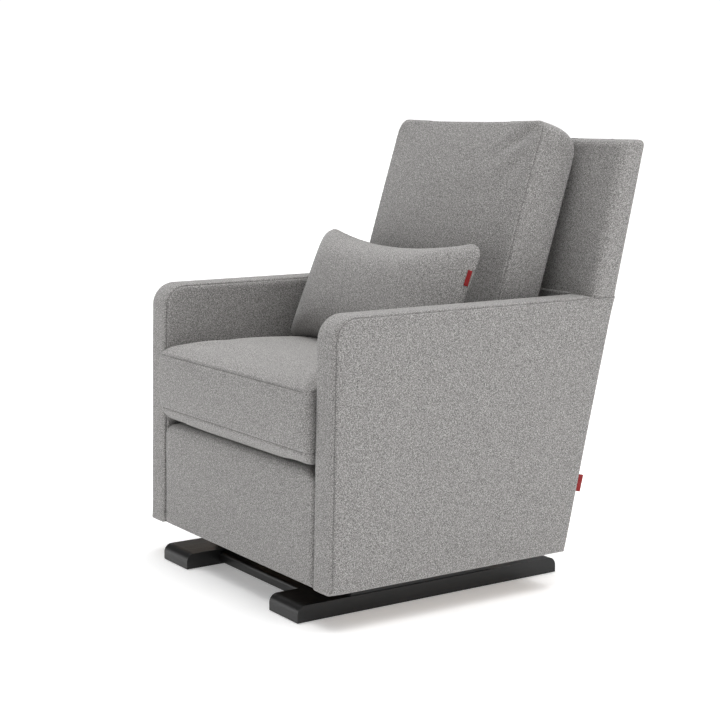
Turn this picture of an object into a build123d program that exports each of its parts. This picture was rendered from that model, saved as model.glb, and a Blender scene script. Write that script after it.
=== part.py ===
"""Glider nursery chair: an upholstered seat body hung on four swing links from a floor base.

Millimetres. The chair faces -Y, +X is the sitter's left and +Z is up. Left and right in names are
as seen from in front of the chair, so right is +X.
The origin is the centre of the overall footprint, on the floor.
"""

import os
from math import cos, radians, sin, tan

from build123d import *

# ---------------------------------------------------------------- overall size
overall_width = 750.0
overall_depth = 786.0
back_height = 917.0
arm_height = 606.0
arm_width = 72.5
body_clearance = 74.0
deck_height = 302.0

# ---------------------------------------------------------------- body shape
front_lean = 1.3
back_rake = 13.3
back_thickness = 62.0
arm_nose_radius = 50.0
soft_edge = 15.0
back_corner_radius = 14.0
rear_edge_radius = 8.0

# ---------------------------------------------------------------- upholstery
cover_wall = 8.0
outside_back_wall = 6.0
cover_drop = 4.0
deck_pad_thickness = 14.0
front_panel_depth = 36.0
front_panel_round = 16.0

# ---------------------------------------------------------------- hardwood and plywood
panel_thickness = 12.0
plank_thickness = 25.0
post_width = 44.5
rail_depth = 60.0
side_rail_height = 72.0
arm_rail_height = 30.0
arm_post_depth = 38.0
spring_rail_drop = 27.0
cross_rail_height = 530.0
corner_block_leg = 60.0
corner_block_thickness = 18.0
corner_block_drop = 2.0

# ---------------------------------------------------------------- webbing and springs
strap_width = 50.0
strap_thickness = 1.5
strap_pitch_share = 0.25
strap_first = 42.0
straps_per_zone = 3
strap_landing = 20.0
spring_wire = 3.8
spring_count = 5
spring_pitch = 110.0
spring_width = 48.0
spring_bends = 16
spring_straight = 1.0
clip_length = 16.0
clip_width = 14.0
clip_wall = 1.2

# ---------------------------------------------------------------- floor base
runner_length = 647.0
runner_width = 106.5
runner_side_inset = 96.1
runner_height = 34.0
runner_nose_radius = 18.0
runner_lift = 1.0
body_setback = 15.5
pad_thickness = 3.0
pad_radius = 14.0
pad_inset = 40.0
pad_edge_inset = 4.0
crossbar_height = 20.0
crossbar_depth = 30.0
crossbar_lift = 8.0
crossbar_inset = 79.5
crossbar_edge = 6.0

# ---------------------------------------------------------------- glide mechanism
link_length = 130.0
pivot_height = 232.0
pivot_spacing = 225.0
front_pivot_inset = 186.5
link_thickness = 6.0
link_width = 24.0
link_slot_length = 40.0
link_slot_width = 9.0
eye_radius = 18.0
bearing_bore = 10.1
bearing_outer = 26.0
bearing_width = 8.0
bearing_shield_inner = 16.0
bearing_shield_outer = 22.0
bearing_shield_depth = 0.6
pivot_bolt = 10.0
spacer_outer = 16.0
hex_across_flats = 17.0
hex_head_height = 6.0
hex_nut_height = 8.0
thread_stickout = 2.0
stand_plate = 4.0
stand_edge_inset = 3.0
stand_flange = 44.0
stand_bar_height = 30.0
stand_wing = 60.0
stand_wing_height = 166.0
stand_inner_reach = 24.0
flange_bolt = 8.0
flange_bolt_length = 26.0
flange_bolt_inset = 22.0
pan_head_radius = 7.5
pan_head_height = 5.0
tie_tube_outer = 20.0
tie_tube_wall = 2.0
tie_tube_drop = 122.0
carrier_plate = 5.0
carrier_height = 40.0
carrier_overhang = 45.0
carrier_bolt = 8.0
carrier_bolt_length = 32.0
carrier_bolt_inset = 18.0
nut_pocket = 24.0
link_setback = 19.25
bumper_radius = 8.0
bumper_length = 18.0
bumper_reach = 60.0
glide_angle = 27.0

# ---------------------------------------------------------------- loose cushions
seat_proud = 12.0
seat_side_height = 450.0
seat_edge_height = 457.0
seat_crown_height = 505.0
seat_crown_inset = 203.0
seat_back_height = 468.0
seat_corner_radius = 26.0
cushion_side_gap = 3.0
back_cushion_side_gap = 42.5
back_cushion_recline = 17.4
back_cushion_boxing = 103.0
back_cushion_crown = 27.0
back_cushion_rear_crown = 14.0
back_cushion_rise = 28.0
back_cushion_foot_reach = 158.5
pillow_side_gap = 15.5
pillow_height = 252.0
pillow_thickness = 150.0
pillow_edge = 12.0
pillow_lean = 22.4
pillow_reach = 81.0
pillow_lift = 115.5

# ---------------------------------------------------------------- sewn tabs
tab_length = 30.0
tab_reach = 9.0
tab_thickness = 1.2
side_tab_height = 215.0
pillow_tab_rise = 62.0

# ---------------------------------------------------------------- clearances
touch_gap = 0.3
side_gap = 0.3
bolt_gap = 0.1
press_gap = 0.02
bumper_gap = 0.4

# ---------------------------------------------------------------- derived places
half_width = overall_width / 2
half_depth = overall_depth / 2
seat_half = half_width - arm_width
cavity_inner = seat_half + cover_wall
cavity_outer = half_width - cover_wall
spacer_inner = cavity_inner + panel_thickness
spacer_outer_face = cavity_outer - panel_thickness
wood_bottom = body_clearance + cover_drop
cover_gap = cover_wall + touch_gap
post_layer = cover_wall + touch_gap + strap_thickness
post_inner = cavity_outer - post_width
spring_rail_top = deck_height - spring_rail_drop
inner_cover_edge = spring_rail_top + touch_gap
deck_bottom = deck_height - deck_pad_thickness
lower_pivot_height = pivot_height - link_length
front_pivot_y = -half_depth + front_pivot_inset
rear_pivot_y = front_pivot_y + pivot_spacing
pivot_rows = (front_pivot_y, rear_pivot_y)
runner_outer = half_width - runner_side_inset
runner_inner = runner_outer - runner_width
carrier_face = cavity_inner - carrier_plate
link_middle = cavity_inner - link_setback
bearing_inner_face = link_middle - bearing_width / 2
bearing_outer_face = link_middle + bearing_width / 2
stand_outer = runner_outer - stand_edge_inset
stand_inner = stand_outer - stand_plate
pillow_width = 2 * (seat_half - pillow_side_gap)
pillow_centre_z = seat_back_height + pillow_lift
back_cushion_top = back_height + back_cushion_rise


def front_y(height):
    """The body's front face, which leans back a little as it rises."""
    return -half_depth + body_setback + (height - body_clearance) * tan(radians(front_lean))


def rear_y(height):
    """The body's rear face, which rakes back to the overall depth at the rounded top corner."""
    tangent = half_depth - back_corner_radius + back_corner_radius / cos(radians(back_rake))
    return tangent + (height - back_height + back_corner_radius) * tan(radians(back_rake))


def inside_back_y(height, layer=0.0):
    """A plane inside the back, counted backwards from the inside back's front face."""
    return rear_y(height) - back_thickness + layer


def side_plate(outline, low_x, high_x):
    """A side-view outline, in (y, z), made into a plate between two x planes."""
    return extrude(Plane.YZ.offset(low_x) * outline, amount=high_x - low_x)


def front_plate(outline, low_y, high_y):
    """A front-view outline, in (x, z), made into a plate between two y planes."""
    return extrude(Plane.XZ.offset(-high_y) * outline, amount=high_y - low_y)


def block(low, high):
    """A rectangular block between two corners."""
    size = [b - a for a, b in zip(low, high)]
    return Pos(*low) * Box(*size, align=(Align.MIN, Align.MIN, Align.MIN))


def rod(start, length, radius, direction=(1, 0, 0)):
    """A round bar from a start point."""
    return extrude(Plane(start, z_dir=direction) * Circle(radius), amount=length)


def ring(start, length, outer, inner, direction=(1, 0, 0)):
    """A round sleeve from a start point."""
    return extrude(Plane(start, z_dir=direction) * (Circle(outer) - Circle(inner)), amount=length)


def hexagon(start, length, direction=(1, 0, 0)):
    """A hexagonal head or nut from a start point."""
    outline = RegularPolygon(hex_across_flats / 2, 6, major_radius=False)
    return extrude(Plane(start, z_dir=direction) * outline, amount=length)


def raked_slab(front_layer, rear_layer, low, high):
    """A side-view outline parallel to the rear face, between two layers of the back."""
    return Polygon(
        (inside_back_y(low, front_layer), low),
        (inside_back_y(low, rear_layer), low),
        (inside_back_y(high, rear_layer), high),
        (inside_back_y(high, front_layer), high),
        align=None,
    )


def other_side(shape):
    return mirror(shape, about=Plane.YZ)


def save(name, shape):
    """Writes one node. A list of solids goes in as one group."""
    export_step(Compound(children=shape) if isinstance(shape, list) else shape, f"parts/{name}.step")


def save_pair(name, shape):
    save(f"{name}_right", shape)
    save(f"{name}_left", other_side(shape))


def both_sides(shapes):
    return shapes + [other_side(shape) for shape in shapes]


# ---------------------------------------------------------------- floor base
def runner():
    """One black runner: bullnosed top edges at both ends, blind holes for the stand's bolts."""
    low = -half_depth
    high = low + runner_length
    outline = Polygon(
        (low, runner_lift),
        (high, runner_lift),
        (high, runner_height),
        (low, runner_height),
        align=None,
    )
    outline = fillet(outline.vertices().group_by(Axis.Y)[-1], runner_nose_radius)
    shape = side_plate(outline, runner_inner, runner_outer)
    for bolt_x, bolt_y in flange_bolt_places():
        hole_start = (bolt_x, bolt_y, runner_height)
        depth = flange_bolt_length - stand_plate + touch_gap
        shape -= rod(hole_start, depth, flange_bolt / 2 + bolt_gap, (0, 0, -1))
    for pad_x, pad_y in pad_places():
        shape -= rod((pad_x, pad_y, 0), pad_thickness, pad_radius + bolt_gap, (0, 0, 1))
    return shape


def pad_places():
    """Pad centres under both ends of a runner, as (x, y)."""
    middle = (runner_inner + runner_outer) / 2
    ends = (-half_depth + pad_inset, -half_depth + runner_length - pad_inset)
    spread = runner_width / 2 - pad_radius - pad_edge_inset
    return [(middle + side * spread, end) for end in ends for side in (-1, 1)]


def floor_pads():
    """Round pads let into the runner, which stand a little below it on the floor."""
    return [rod((x, y, 0), pad_thickness, pad_radius, (0, 0, 1)) for x, y in pad_places()]


def crossbar(front_face):
    """A flat bar between the runners with a softened top front edge."""
    outline = Polygon(
        (front_face, crossbar_lift),
        (front_face + crossbar_depth, crossbar_lift),
        (front_face + crossbar_depth, crossbar_lift + crossbar_height),
        (front_face, crossbar_lift + crossbar_height),
        align=None,
    )
    outline = fillet(outline.vertices().group_by(Axis.Y)[-1], crossbar_edge)
    return side_plate(outline, -runner_inner, runner_inner)


# ---------------------------------------------------------------- glide mechanism
def stand_span():
    return (front_pivot_y - stand_wing, rear_pivot_y + stand_wing)


def flange_bolt_places():
    """Bolt centres on the stand's foot flange, as (x, y)."""
    low, high = stand_span()
    bolt_x = stand_inner - stand_flange / 2
    return [(bolt_x, y) for y in (low + flange_bolt_inset, *pivot_rows, high - flange_bolt_inset)]


def stand():
    """A pressed steel stand: foot flange, bar and two uprights with the upper pivot ears."""
    low, high = stand_span()
    foot = runner_height
    bar_top = foot + stand_bar_height
    wing_top = foot + stand_wing_height
    front_inner = front_pivot_y + stand_inner_reach
    rear_inner = rear_pivot_y - stand_inner_reach
    front_upright = Polygon(
        (low, foot),
        (front_inner, foot),
        (front_pivot_y + eye_radius, pivot_height),
        (front_pivot_y - eye_radius, pivot_height),
        (low, wing_top),
        align=None,
    )
    rear_upright = Polygon(
        (rear_inner, foot),
        (high, foot),
        (high, wing_top),
        (rear_pivot_y + eye_radius, pivot_height),
        (rear_pivot_y - eye_radius, pivot_height),
        align=None,
    )
    bar = Polygon((low, foot), (high, foot), (high, bar_top), (low, bar_top), align=None)
    outline = front_upright + rear_upright + bar
    for pivot in pivot_rows:
        outline += Pos(pivot, pivot_height) * Circle(eye_radius)
    for pivot in pivot_rows:
        outline -= Pos(pivot, pivot_height) * Circle(pivot_bolt / 2 + bolt_gap)
    shape = side_plate(outline, stand_inner, stand_outer)
    shape += block((stand_inner - stand_flange, low, foot), (stand_inner, high, foot + stand_plate))
    for bolt_x, bolt_y in flange_bolt_places():
        shape -= rod((bolt_x, bolt_y, foot), stand_plate, flange_bolt / 2 + bolt_gap, (0, 0, 1))
    return shape


def pan_bolt(seat, direction, length, radius):
    """A round-headed bolt whose head sits on a face and whose shank goes in along direction."""
    back = tuple(-d for d in direction)
    return rod(seat, pan_head_height, pan_head_radius, back) + rod(seat, length, radius, direction)


def stand_bolts():
    top = runner_height + stand_plate
    return [
        pan_bolt((x, y, top), (0, 0, -1), flange_bolt_length, flange_bolt / 2)
        for x, y in flange_bolt_places()
    ]


def tie_tubes():
    """Two cross tubes that hold the left and right stands apart."""
    height = pivot_height - tie_tube_drop
    inner = tie_tube_outer / 2 - tie_tube_wall
    return [
        ring((-stand_inner, pivot, height), 2 * stand_inner, tie_tube_outer / 2, inner)
        for pivot in pivot_rows
    ]


def bumper_place(pivot, way):
    """Where a stop sits, so that the link's edge just reaches it at the end of the glide."""
    angle = radians(glide_angle)
    offset = link_width / 2 + bumper_radius + bumper_gap
    along = bumper_reach * sin(angle) + offset * cos(angle)
    down = bumper_reach * cos(angle) - offset * sin(angle)
    return (stand_outer, pivot + way * along, pivot_height - down)


def travel_bumpers():
    """Rubber stops for the front link going forwards and the rear link going backwards."""
    places = (bumper_place(front_pivot_y, -1), bumper_place(rear_pivot_y, 1))
    return [rod(place, bumper_length, bumper_radius) for place in places]


def upper_pivot_bolts():
    """Head outside the link, shank through link and stand, thread out past the nut."""
    head = bearing_outer_face + touch_gap
    tail = stand_inner - hex_nut_height - thread_stickout
    return [
        hexagon((head, pivot, pivot_height), hex_head_height)
        + rod((tail, pivot, pivot_height), head - tail, pivot_bolt / 2)
        for pivot in pivot_rows
    ]


def pivot_nut(start_x, pivot, height):
    nut = hexagon((start_x, pivot, height), hex_nut_height)
    return nut - rod((start_x, pivot, height), hex_nut_height, pivot_bolt / 2 + press_gap)


def upper_pivot_nuts():
    start = stand_inner - hex_nut_height
    return [pivot_nut(start, pivot, pivot_height) for pivot in pivot_rows]


def spacer(low_x, high_x, pivot, height):
    bore = pivot_bolt / 2 + bolt_gap
    return ring((low_x, pivot, height), high_x - low_x, spacer_outer / 2, bore)


def upper_pivot_spacers():
    high = bearing_inner_face - touch_gap
    return [spacer(stand_outer, high, pivot, pivot_height) for pivot in pivot_rows]


def lower_pivot_bolts():
    """Head inside the link, shank through link and carrier, nut in the arm panel's pocket."""
    head = bearing_inner_face - touch_gap
    tail = cavity_inner + hex_nut_height + thread_stickout
    return [
        hexagon((head - hex_head_height, pivot, lower_pivot_height), hex_head_height)
        + rod((head, pivot, lower_pivot_height), tail - head, pivot_bolt / 2)
        for pivot in pivot_rows
    ]


def lower_pivot_nuts():
    return [pivot_nut(cavity_inner, pivot, lower_pivot_height) for pivot in pivot_rows]


def lower_pivot_spacers():
    low = bearing_outer_face + touch_gap
    return [spacer(low, carrier_face, pivot, lower_pivot_height) for pivot in pivot_rows]


def link(pivot):
    """A flat swing link with a bearing eye at each end and a slot between them."""
    bar = Pos(pivot, pivot_height - link_length / 2) * Rectangle(link_width, link_length)
    slot = SlotOverall(link_slot_length, link_slot_width, rotation=90)
    outline = bar - Pos(pivot, pivot_height - link_length / 2) * slot
    for height in (pivot_height, lower_pivot_height):
        outline += Pos(pivot, height) * Circle(eye_radius)
    for height in (pivot_height, lower_pivot_height):
        outline -= Pos(pivot, height) * Circle(bearing_outer / 2 + press_gap)
    return side_plate(outline, link_middle - link_thickness / 2, link_middle + link_thickness / 2)


def link_bearings(pivot):
    """A shielded ball bearing for each eye, as one closed ring with a shield groove each side."""
    rings = []
    for height in (pivot_height, lower_pivot_height):
        start = (bearing_inner_face, pivot, height)
        end = (bearing_outer_face - bearing_shield_depth, pivot, height)
        body = ring(start, bearing_width, bearing_outer / 2, bearing_bore / 2)
        for groove in (start, end):
            body -= ring(groove, bearing_shield_depth, bearing_shield_outer / 2, bearing_shield_inner / 2)
        rings.append(body)
    return rings


def carrier_bolt_places():
    """Screw centres on the carrier plate, as (y, z), clear of the two pivots."""
    low = front_pivot_y - carrier_overhang + carrier_bolt_inset
    high = rear_pivot_y + carrier_overhang - carrier_bolt_inset
    inner = (front_pivot_y + carrier_overhang, rear_pivot_y - carrier_overhang)
    return [(y, lower_pivot_height) for y in (low, *inner, high)]


def carrier():
    """The steel strap that the seat body hangs by, screwed to the inner arm panel."""
    low = front_pivot_y - carrier_overhang
    high = rear_pivot_y + carrier_overhang
    outline = Pos((low + high) / 2, lower_pivot_height) * SlotOverall(high - low, carrier_height)
    for pivot in pivot_rows:
        outline -= Pos(pivot, lower_pivot_height) * Circle(pivot_bolt / 2 + bolt_gap)
    for place in carrier_bolt_places():
        outline -= Pos(*place) * Circle(carrier_bolt / 2 + bolt_gap)
    return side_plate(outline, carrier_face, cavity_inner)


def carrier_screws():
    return [
        pan_bolt((carrier_face, y, z), (1, 0, 0), carrier_bolt_length, carrier_bolt / 2)
        for y, z in carrier_bolt_places()
    ]


# ---------------------------------------------------------------- arm frame
def arm_outline(inset, low, rear_layer):
    """The arm's side view, drawn in by an inset, down to a height and back to a layer."""
    top = arm_height - inset
    outline = Polygon(
        (front_y(low) + inset, low),
        (inside_back_y(low, rear_layer), low),
        (inside_back_y(top, rear_layer), top),
        (front_y(top) + inset, top),
        align=None,
    )
    nose = outline.vertices().sort_by(Axis.Y)[-2:].sort_by(Axis.X)[0]
    return fillet(nose, arm_nose_radius - inset)


def arm_panel(low_x):
    outline = arm_outline(cover_gap, wood_bottom, cover_wall - touch_gap)
    return side_plate(outline, low_x, low_x + panel_thickness)


def inner_arm_panel():
    """Plywood, with pockets for the pivot nuts and holes for the carrier's screws."""
    shape = arm_panel(cavity_inner)
    for pivot in pivot_rows:
        shape -= rod((cavity_inner, pivot, lower_pivot_height), panel_thickness, nut_pocket / 2)
    for y, z in carrier_bolt_places():
        shape -= rod((cavity_inner, y, z), panel_thickness, carrier_bolt / 2 + bolt_gap)
    return shape


def outer_arm_panel():
    return arm_panel(spacer_outer_face)


def between_panels(low, high):
    """A piece of the arm's timber, cut to the space between the two panels and the post."""
    space = side_plate(arm_outline(cover_gap, wood_bottom, post_layer), spacer_inner, spacer_outer_face)
    return space & block((spacer_inner, *low), (spacer_outer_face, *high))


def side_rail():
    """The bottom rail that takes the carrier's screws."""
    shape = between_panels((-half_depth, wood_bottom), (half_depth, wood_bottom + side_rail_height))
    reach = carrier_bolt_length - carrier_plate - panel_thickness + touch_gap
    for y, z in carrier_bolt_places():
        shape -= rod((spacer_inner, y, z), reach, carrier_bolt / 2 + bolt_gap)
    return shape


def arm_post():
    low = wood_bottom + side_rail_height
    high = arm_height - cover_gap - arm_nose_radius
    return between_panels((-half_depth, low), (front_y(low) + cover_gap + arm_post_depth, high))


def arm_top_rail():
    top = arm_height - cover_gap
    low = top - arm_rail_height
    return between_panels((front_y(top) + arm_nose_radius, low), (half_depth, top))


# ---------------------------------------------------------------- seat and back frame
def front_rail():
    """The plank behind the front panel, which carries the front ends of the springs."""
    outline = Polygon(
        (front_y(wood_bottom) + cover_gap, wood_bottom),
        (front_y(wood_bottom) + cover_gap + plank_thickness, wood_bottom),
        (front_y(spring_rail_top) + cover_gap + plank_thickness, spring_rail_top),
        (front_y(spring_rail_top) + cover_gap, spring_rail_top),
        align=None,
    )
    return side_plate(outline, -cavity_inner, cavity_inner)


def wood_rear_layer():
    return back_thickness - outside_back_wall


def cross_plank(low, high, thickness):
    """A plank between the back posts, flush with their rear faces."""
    rear = wood_rear_layer()
    return side_plate(raked_slab(rear - thickness, rear, low, high), -post_inner, post_inner)


def back_post():
    """The upright that runs from the floor of the body to the top of the back."""
    top = back_height - cover_gap
    return side_plate(raked_slab(post_layer, wood_rear_layer(), wood_bottom, top), post_inner, cavity_outer)


def corner_blocks():
    """Triangular blocks that brace the front rail to the inner arm panels, above the stands."""
    top = spring_rail_top - corner_block_drop
    low = top - corner_block_thickness
    corner_y = front_y(spring_rail_top) + cover_gap + plank_thickness
    outline = Polygon(
        (cavity_inner, corner_y),
        (cavity_inner, corner_y + corner_block_leg),
        (cavity_inner - corner_block_leg, corner_y),
        align=None,
    )
    return extrude(Plane.XY.offset(low) * outline, amount=top - low)


# ---------------------------------------------------------------- springs and webbing
def spring_columns():
    middle = (spring_count - 1) / 2
    return [(index - middle) * spring_pitch for index in range(spring_count)]


def spring_ends():
    """The y of the two clips that a spring is held in."""
    front = front_y(spring_rail_top) + cover_gap + plank_thickness / 2
    rear = inside_back_y(spring_rail_top, wood_rear_layer()) - plank_thickness / 2
    return front, rear


def seat_springs():
    """Sinuous wire springs, side by side, from the front rail to the rear rail."""
    start, end = spring_ends()
    height = spring_rail_top + clip_wall + spring_wire / 2
    step = (end - start) / spring_bends
    half = (spring_width - spring_wire) / 2
    springs = []
    for column in spring_columns():
        points = []
        for bend in range(spring_bends + 1):
            side = half if bend % 2 == 0 else -half
            points.append((column - side, start + bend * step, height))
            points.append((column + side, start + bend * step, height))
        path = FilletPolyline(*points, radius=step / 2 - spring_straight)
        profile = Plane(path @ 0, z_dir=path % 0) * Circle(spring_wire / 2)
        springs.append(sweep(profile, path))
    return springs


def spring_clips():
    """Folded steel clips, closed on their outer side, that hold the spring ends on the rails."""
    mouth = spring_wire + 2 * touch_gap
    low_z = spring_rail_top
    high_z = low_z + mouth + 2 * clip_wall
    clips = []
    for column in spring_columns():
        for middle, opening in zip(spring_ends(), (1, -1)):
            low = (column - clip_length / 2, middle - clip_width / 2, low_z)
            high = (column + clip_length / 2, middle + clip_width / 2, high_z)
            shift = opening * clip_wall
            slot_low = (low[0], low[1] + shift, low_z + clip_wall - touch_gap)
            slot_high = (high[0], high[1] + shift, high_z - clip_wall)
            clips.append(block(low, high) - block(slot_low, slot_high))
    return clips


def back_straps():
    """Elastic webbing across the posts, three straps below the arms and three above."""
    reach = post_inner + strap_landing
    straps = []
    for zone, zone_top in ((deck_height, arm_height), (arm_height, back_height)):
        pitch = (zone_top - zone) * strap_pitch_share
        for index in range(straps_per_zone):
            low = zone + strap_first + index * pitch - strap_width / 2
            layers = (post_layer - strap_thickness, post_layer)
            straps.append(side_plate(raked_slab(*layers, low, low + strap_width), -reach, reach))
    return straps


# ---------------------------------------------------------------- upholstery covers
def soften(shape, face_x, radius, skip):
    """Rounds the outline edges of a side face, apart from those on the faces to skip."""
    face = shape.faces().filter_by(Axis.X).sort_by(lambda f: abs(f.center().X - face_x))[0]
    edges = [edge for edge in face.edges() if not skip(edge)]
    return fillet(edges, radius)


def rear_slab(wall, low, high):
    """The outside back's layer, run past the sides of the body."""
    outline = raked_slab(back_thickness - wall, back_thickness + rear_edge_radius, low, high)
    return side_plate(outline, -overall_width, overall_width)


def arm_cover():
    """Padded fabric over one arm: a hollow box, open at the bottom and at the rear."""
    outer = side_plate(arm_outline(0, body_clearance, back_thickness), seat_half, half_width)

    def stays_sharp(edge):
        middle = edge.center()
        return middle.Z < body_clearance + touch_gap or middle.Y > inside_back_y(middle.Z)

    outer = soften(outer, seat_half, soft_edge, stays_sharp)
    shape = soften(outer, half_width, soft_edge, stays_sharp)
    hollow = arm_outline(cover_wall, 0, back_thickness)
    shape -= side_plate(hollow, cavity_inner, cavity_outer)
    below = block((seat_half - side_gap, -half_depth, 0), (cavity_inner, half_depth, inner_cover_edge))
    shape -= side_plate(hollow, seat_half - side_gap, cavity_inner) & below
    behind = raked_slab(-side_gap, back_thickness, 0, back_height)
    shape -= side_plate(behind, seat_half - side_gap, cavity_outer)
    return shape - rear_slab(outside_back_wall, 0, back_height)


def front_cover():
    """The panel under the seat cushion: over the front rail's face and back onto the deck."""
    low = body_clearance
    rear = front_y(deck_height) + front_panel_depth
    outline = Polygon(
        (front_y(low), low),
        (rear, low),
        (rear, deck_height),
        (front_y(deck_height), deck_height),
        align=None,
    )
    top_front = outline.vertices().sort_by(Axis.Y)[-2:].sort_by(Axis.X)[0]
    outline = fillet(top_front, front_panel_round)
    hollow = Polygon(
        (front_y(low) + cover_wall, low),
        (rear, low),
        (rear, deck_bottom),
        (front_y(deck_bottom) + cover_wall, deck_bottom),
        align=None,
    )
    return side_plate(outline - hollow, -seat_half + side_gap, seat_half - side_gap)


def deck_pad():
    """Firm felt over the springs, between the arms."""
    front = front_y(deck_height) + front_panel_depth + touch_gap
    rear = inside_back_y(deck_bottom) - touch_gap
    low = (-seat_half + side_gap, front, deck_bottom)
    return block(low, (seat_half - side_gap, rear, deck_height))


def back_block(low, half):
    """The whole back above a height, as one solid with a rounded top and rounded sides."""
    outline = raked_slab(0, back_thickness, low, back_height)
    outline = fillet(outline.vertices().group_by(Axis.Y)[-1], back_corner_radius)
    shape = side_plate(outline, -half, half)
    for face_x in (-half, half):
        shape = soften(shape, face_x, rear_edge_radius, lambda edge: edge.center().Z < low + touch_gap)
    return shape


def back_cover():
    """The inside back: full width above the arms, between the arms below them."""
    low = arm_height + touch_gap
    shape = back_block(low, half_width)
    middle = raked_slab(0, back_thickness, deck_bottom, back_height - back_corner_radius)
    shape += side_plate(middle, -seat_half + side_gap, seat_half - side_gap)
    hollow = raked_slab(cover_wall, back_thickness + rear_edge_radius, 0, back_height - cover_wall)
    shape -= side_plate(hollow, -cavity_outer, cavity_outer)
    return shape - rear_slab(outside_back_wall, 0, back_height)


def outside_back():
    """The flat panel that closes the rear of the body from bottom to top."""
    shape = back_block(body_clearance, half_width)
    return shape & rear_slab(outside_back_wall, 0, back_height)


# ---------------------------------------------------------------- loose cushions
def seat_cushion():
    """A boxed cushion, crowned across and along, flattened where the back cushion stands."""
    half = seat_half - cushion_side_gap
    low = deck_height + touch_gap
    front = front_y(deck_height) - seat_proud
    rear = inside_back_y(low) - touch_gap
    across = Polyline((-half, seat_edge_height), (-half, low), (half, low), (half, seat_edge_height))
    across += ThreePointArc((-half, seat_edge_height), (0, seat_crown_height), (half, seat_edge_height))
    bulge = back_cushion_crown / cos(radians(back_cushion_recline))
    foot = (back_cushion_foot_y() - bulge - touch_gap, seat_back_height)
    along = Polyline(foot, (rear, seat_back_height), (rear, low), (front, low), (front, seat_side_height))
    crown = (seat_crown_inset - half_depth, seat_crown_height)
    along += ThreePointArc((front, seat_side_height), crown, foot)
    shape = front_plate(make_face(across), front, rear) & side_plate(make_face(along), -half, half)
    corners = shape.edges().filter_by(Axis.Z).group_by(Axis.Y)[0]
    return fillet(corners, seat_corner_radius)


def back_cushion_foot_y():
    """Where the back cushion's front seam meets the seat cushion, ahead of the inside back."""
    return inside_back_y(seat_back_height) - back_cushion_foot_reach


def back_cushion():
    """A boxed cushion that leans back, crowned in front and behind, standing on the seat cushion."""
    half = seat_half - back_cushion_side_gap
    lean = radians(back_cushion_recline)
    low = seat_back_height + touch_gap
    rise = (back_cushion_top - low) / cos(lean)
    below = back_cushion_boxing
    start = (0, back_cushion_foot_y() - below * sin(lean), low - below * cos(lean))
    section = Plane(start, x_dir=(1, 0, 0), z_dir=(0, sin(lean), cos(lean)))
    boxing = back_cushion_boxing
    rear = boxing + back_cushion_rear_crown
    outline = Line((-half, 0), (-half, boxing)) + ThreePointArc((-half, boxing), (0, rear), (half, boxing))
    outline += Line((half, boxing), (half, 0))
    outline += ThreePointArc((half, 0), (0, -back_cushion_crown), (-half, 0))
    shape = extrude(section * make_face(outline), amount=rise + below)
    highest = back_cushion_top + back_cushion_crown
    return shape & block((-half, -half_depth, low), (half, half_depth, highest))


def pillow_plane():
    """The pillow's middle plane: local x across, local y up the pillow, z out of its front."""
    lean = radians(pillow_lean)
    centre = (0, back_cushion_foot_y() - pillow_reach, pillow_centre_z)
    return Plane(centre, x_dir=(1, 0, 0), z_dir=(0, -cos(lean), sin(lean)))


def lens(width):
    """A lens outline: thin at both ends, full thickness in the middle."""
    half = width / 2
    edge = pillow_edge / 2
    full = pillow_thickness / 2
    outline = ThreePointArc((-half, edge), (0, full), (half, edge)) + Line((half, edge), (half, -edge))
    outline += ThreePointArc((half, -edge), (0, -full), (-half, -edge)) + Line((-half, -edge), (-half, edge))
    return make_face(outline)


def lumbar_pillow(seat, back):
    """A knife-edged pillow, hollowed where it nests on the seat cushion and the back cushion."""
    upright = extrude(Plane.YZ.offset(-pillow_width / 2) * lens(pillow_height), amount=pillow_width)
    level = extrude(Plane.XZ.offset(-pillow_height / 2) * lens(pillow_width), amount=pillow_height)
    shape = pillow_plane() * (upright & level)
    shape -= Pos(0, 0, touch_gap) * seat
    return shape - Pos(0, -touch_gap / cos(radians(back_cushion_recline)), 0) * back


# ---------------------------------------------------------------- sewn tabs
def side_tab():
    """A small plain tab sewn into the seam at the rear edge of the right-hand side."""
    low = side_tab_height - tab_length / 2
    outline = raked_slab(back_thickness, back_thickness + tab_reach, low, low + tab_length)
    outer = half_width - rear_edge_radius
    return side_plate(outline, outer - tab_thickness, outer)


def pillow_tab():
    """A small plain tab sewn into the right-hand edge seam of the pillow."""
    low = (pillow_width / 2, pillow_tab_rise - tab_length / 2, -tab_thickness / 2)
    high = (low[0] + tab_reach, low[1] + tab_length, tab_thickness / 2)
    return pillow_plane() * block(low, high)


# ---------------------------------------------------------------- assembly
def write_base():
    save_pair("runner", runner())
    save("floor_pads", both_sides(floor_pads()))
    front_bar = -half_depth + crossbar_inset
    save("front_crossbar", crossbar(front_bar))
    save("rear_crossbar", crossbar(-half_depth + runner_length - crossbar_inset - crossbar_depth))
    save_pair("stand", stand())
    save("stand_bolts", both_sides(stand_bolts()))
    save("tie_tubes", tie_tubes())
    save("travel_bumpers", both_sides(travel_bumpers()))
    save("upper_pivot_bolts", both_sides(upper_pivot_bolts()))
    save("upper_pivot_nuts", both_sides(upper_pivot_nuts()))
    save("upper_pivot_spacers", both_sides(upper_pivot_spacers()))


def write_links():
    for row, pivot in zip(("front", "rear"), pivot_rows):
        save(f"{row}_link_right", link(pivot))
        save(f"{row}_link_left", other_side(link(pivot)))
        save(f"{row}_bearings_right", link_bearings(pivot))
        save(f"{row}_bearings_left", [other_side(ring_pair) for ring_pair in link_bearings(pivot)])


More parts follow.
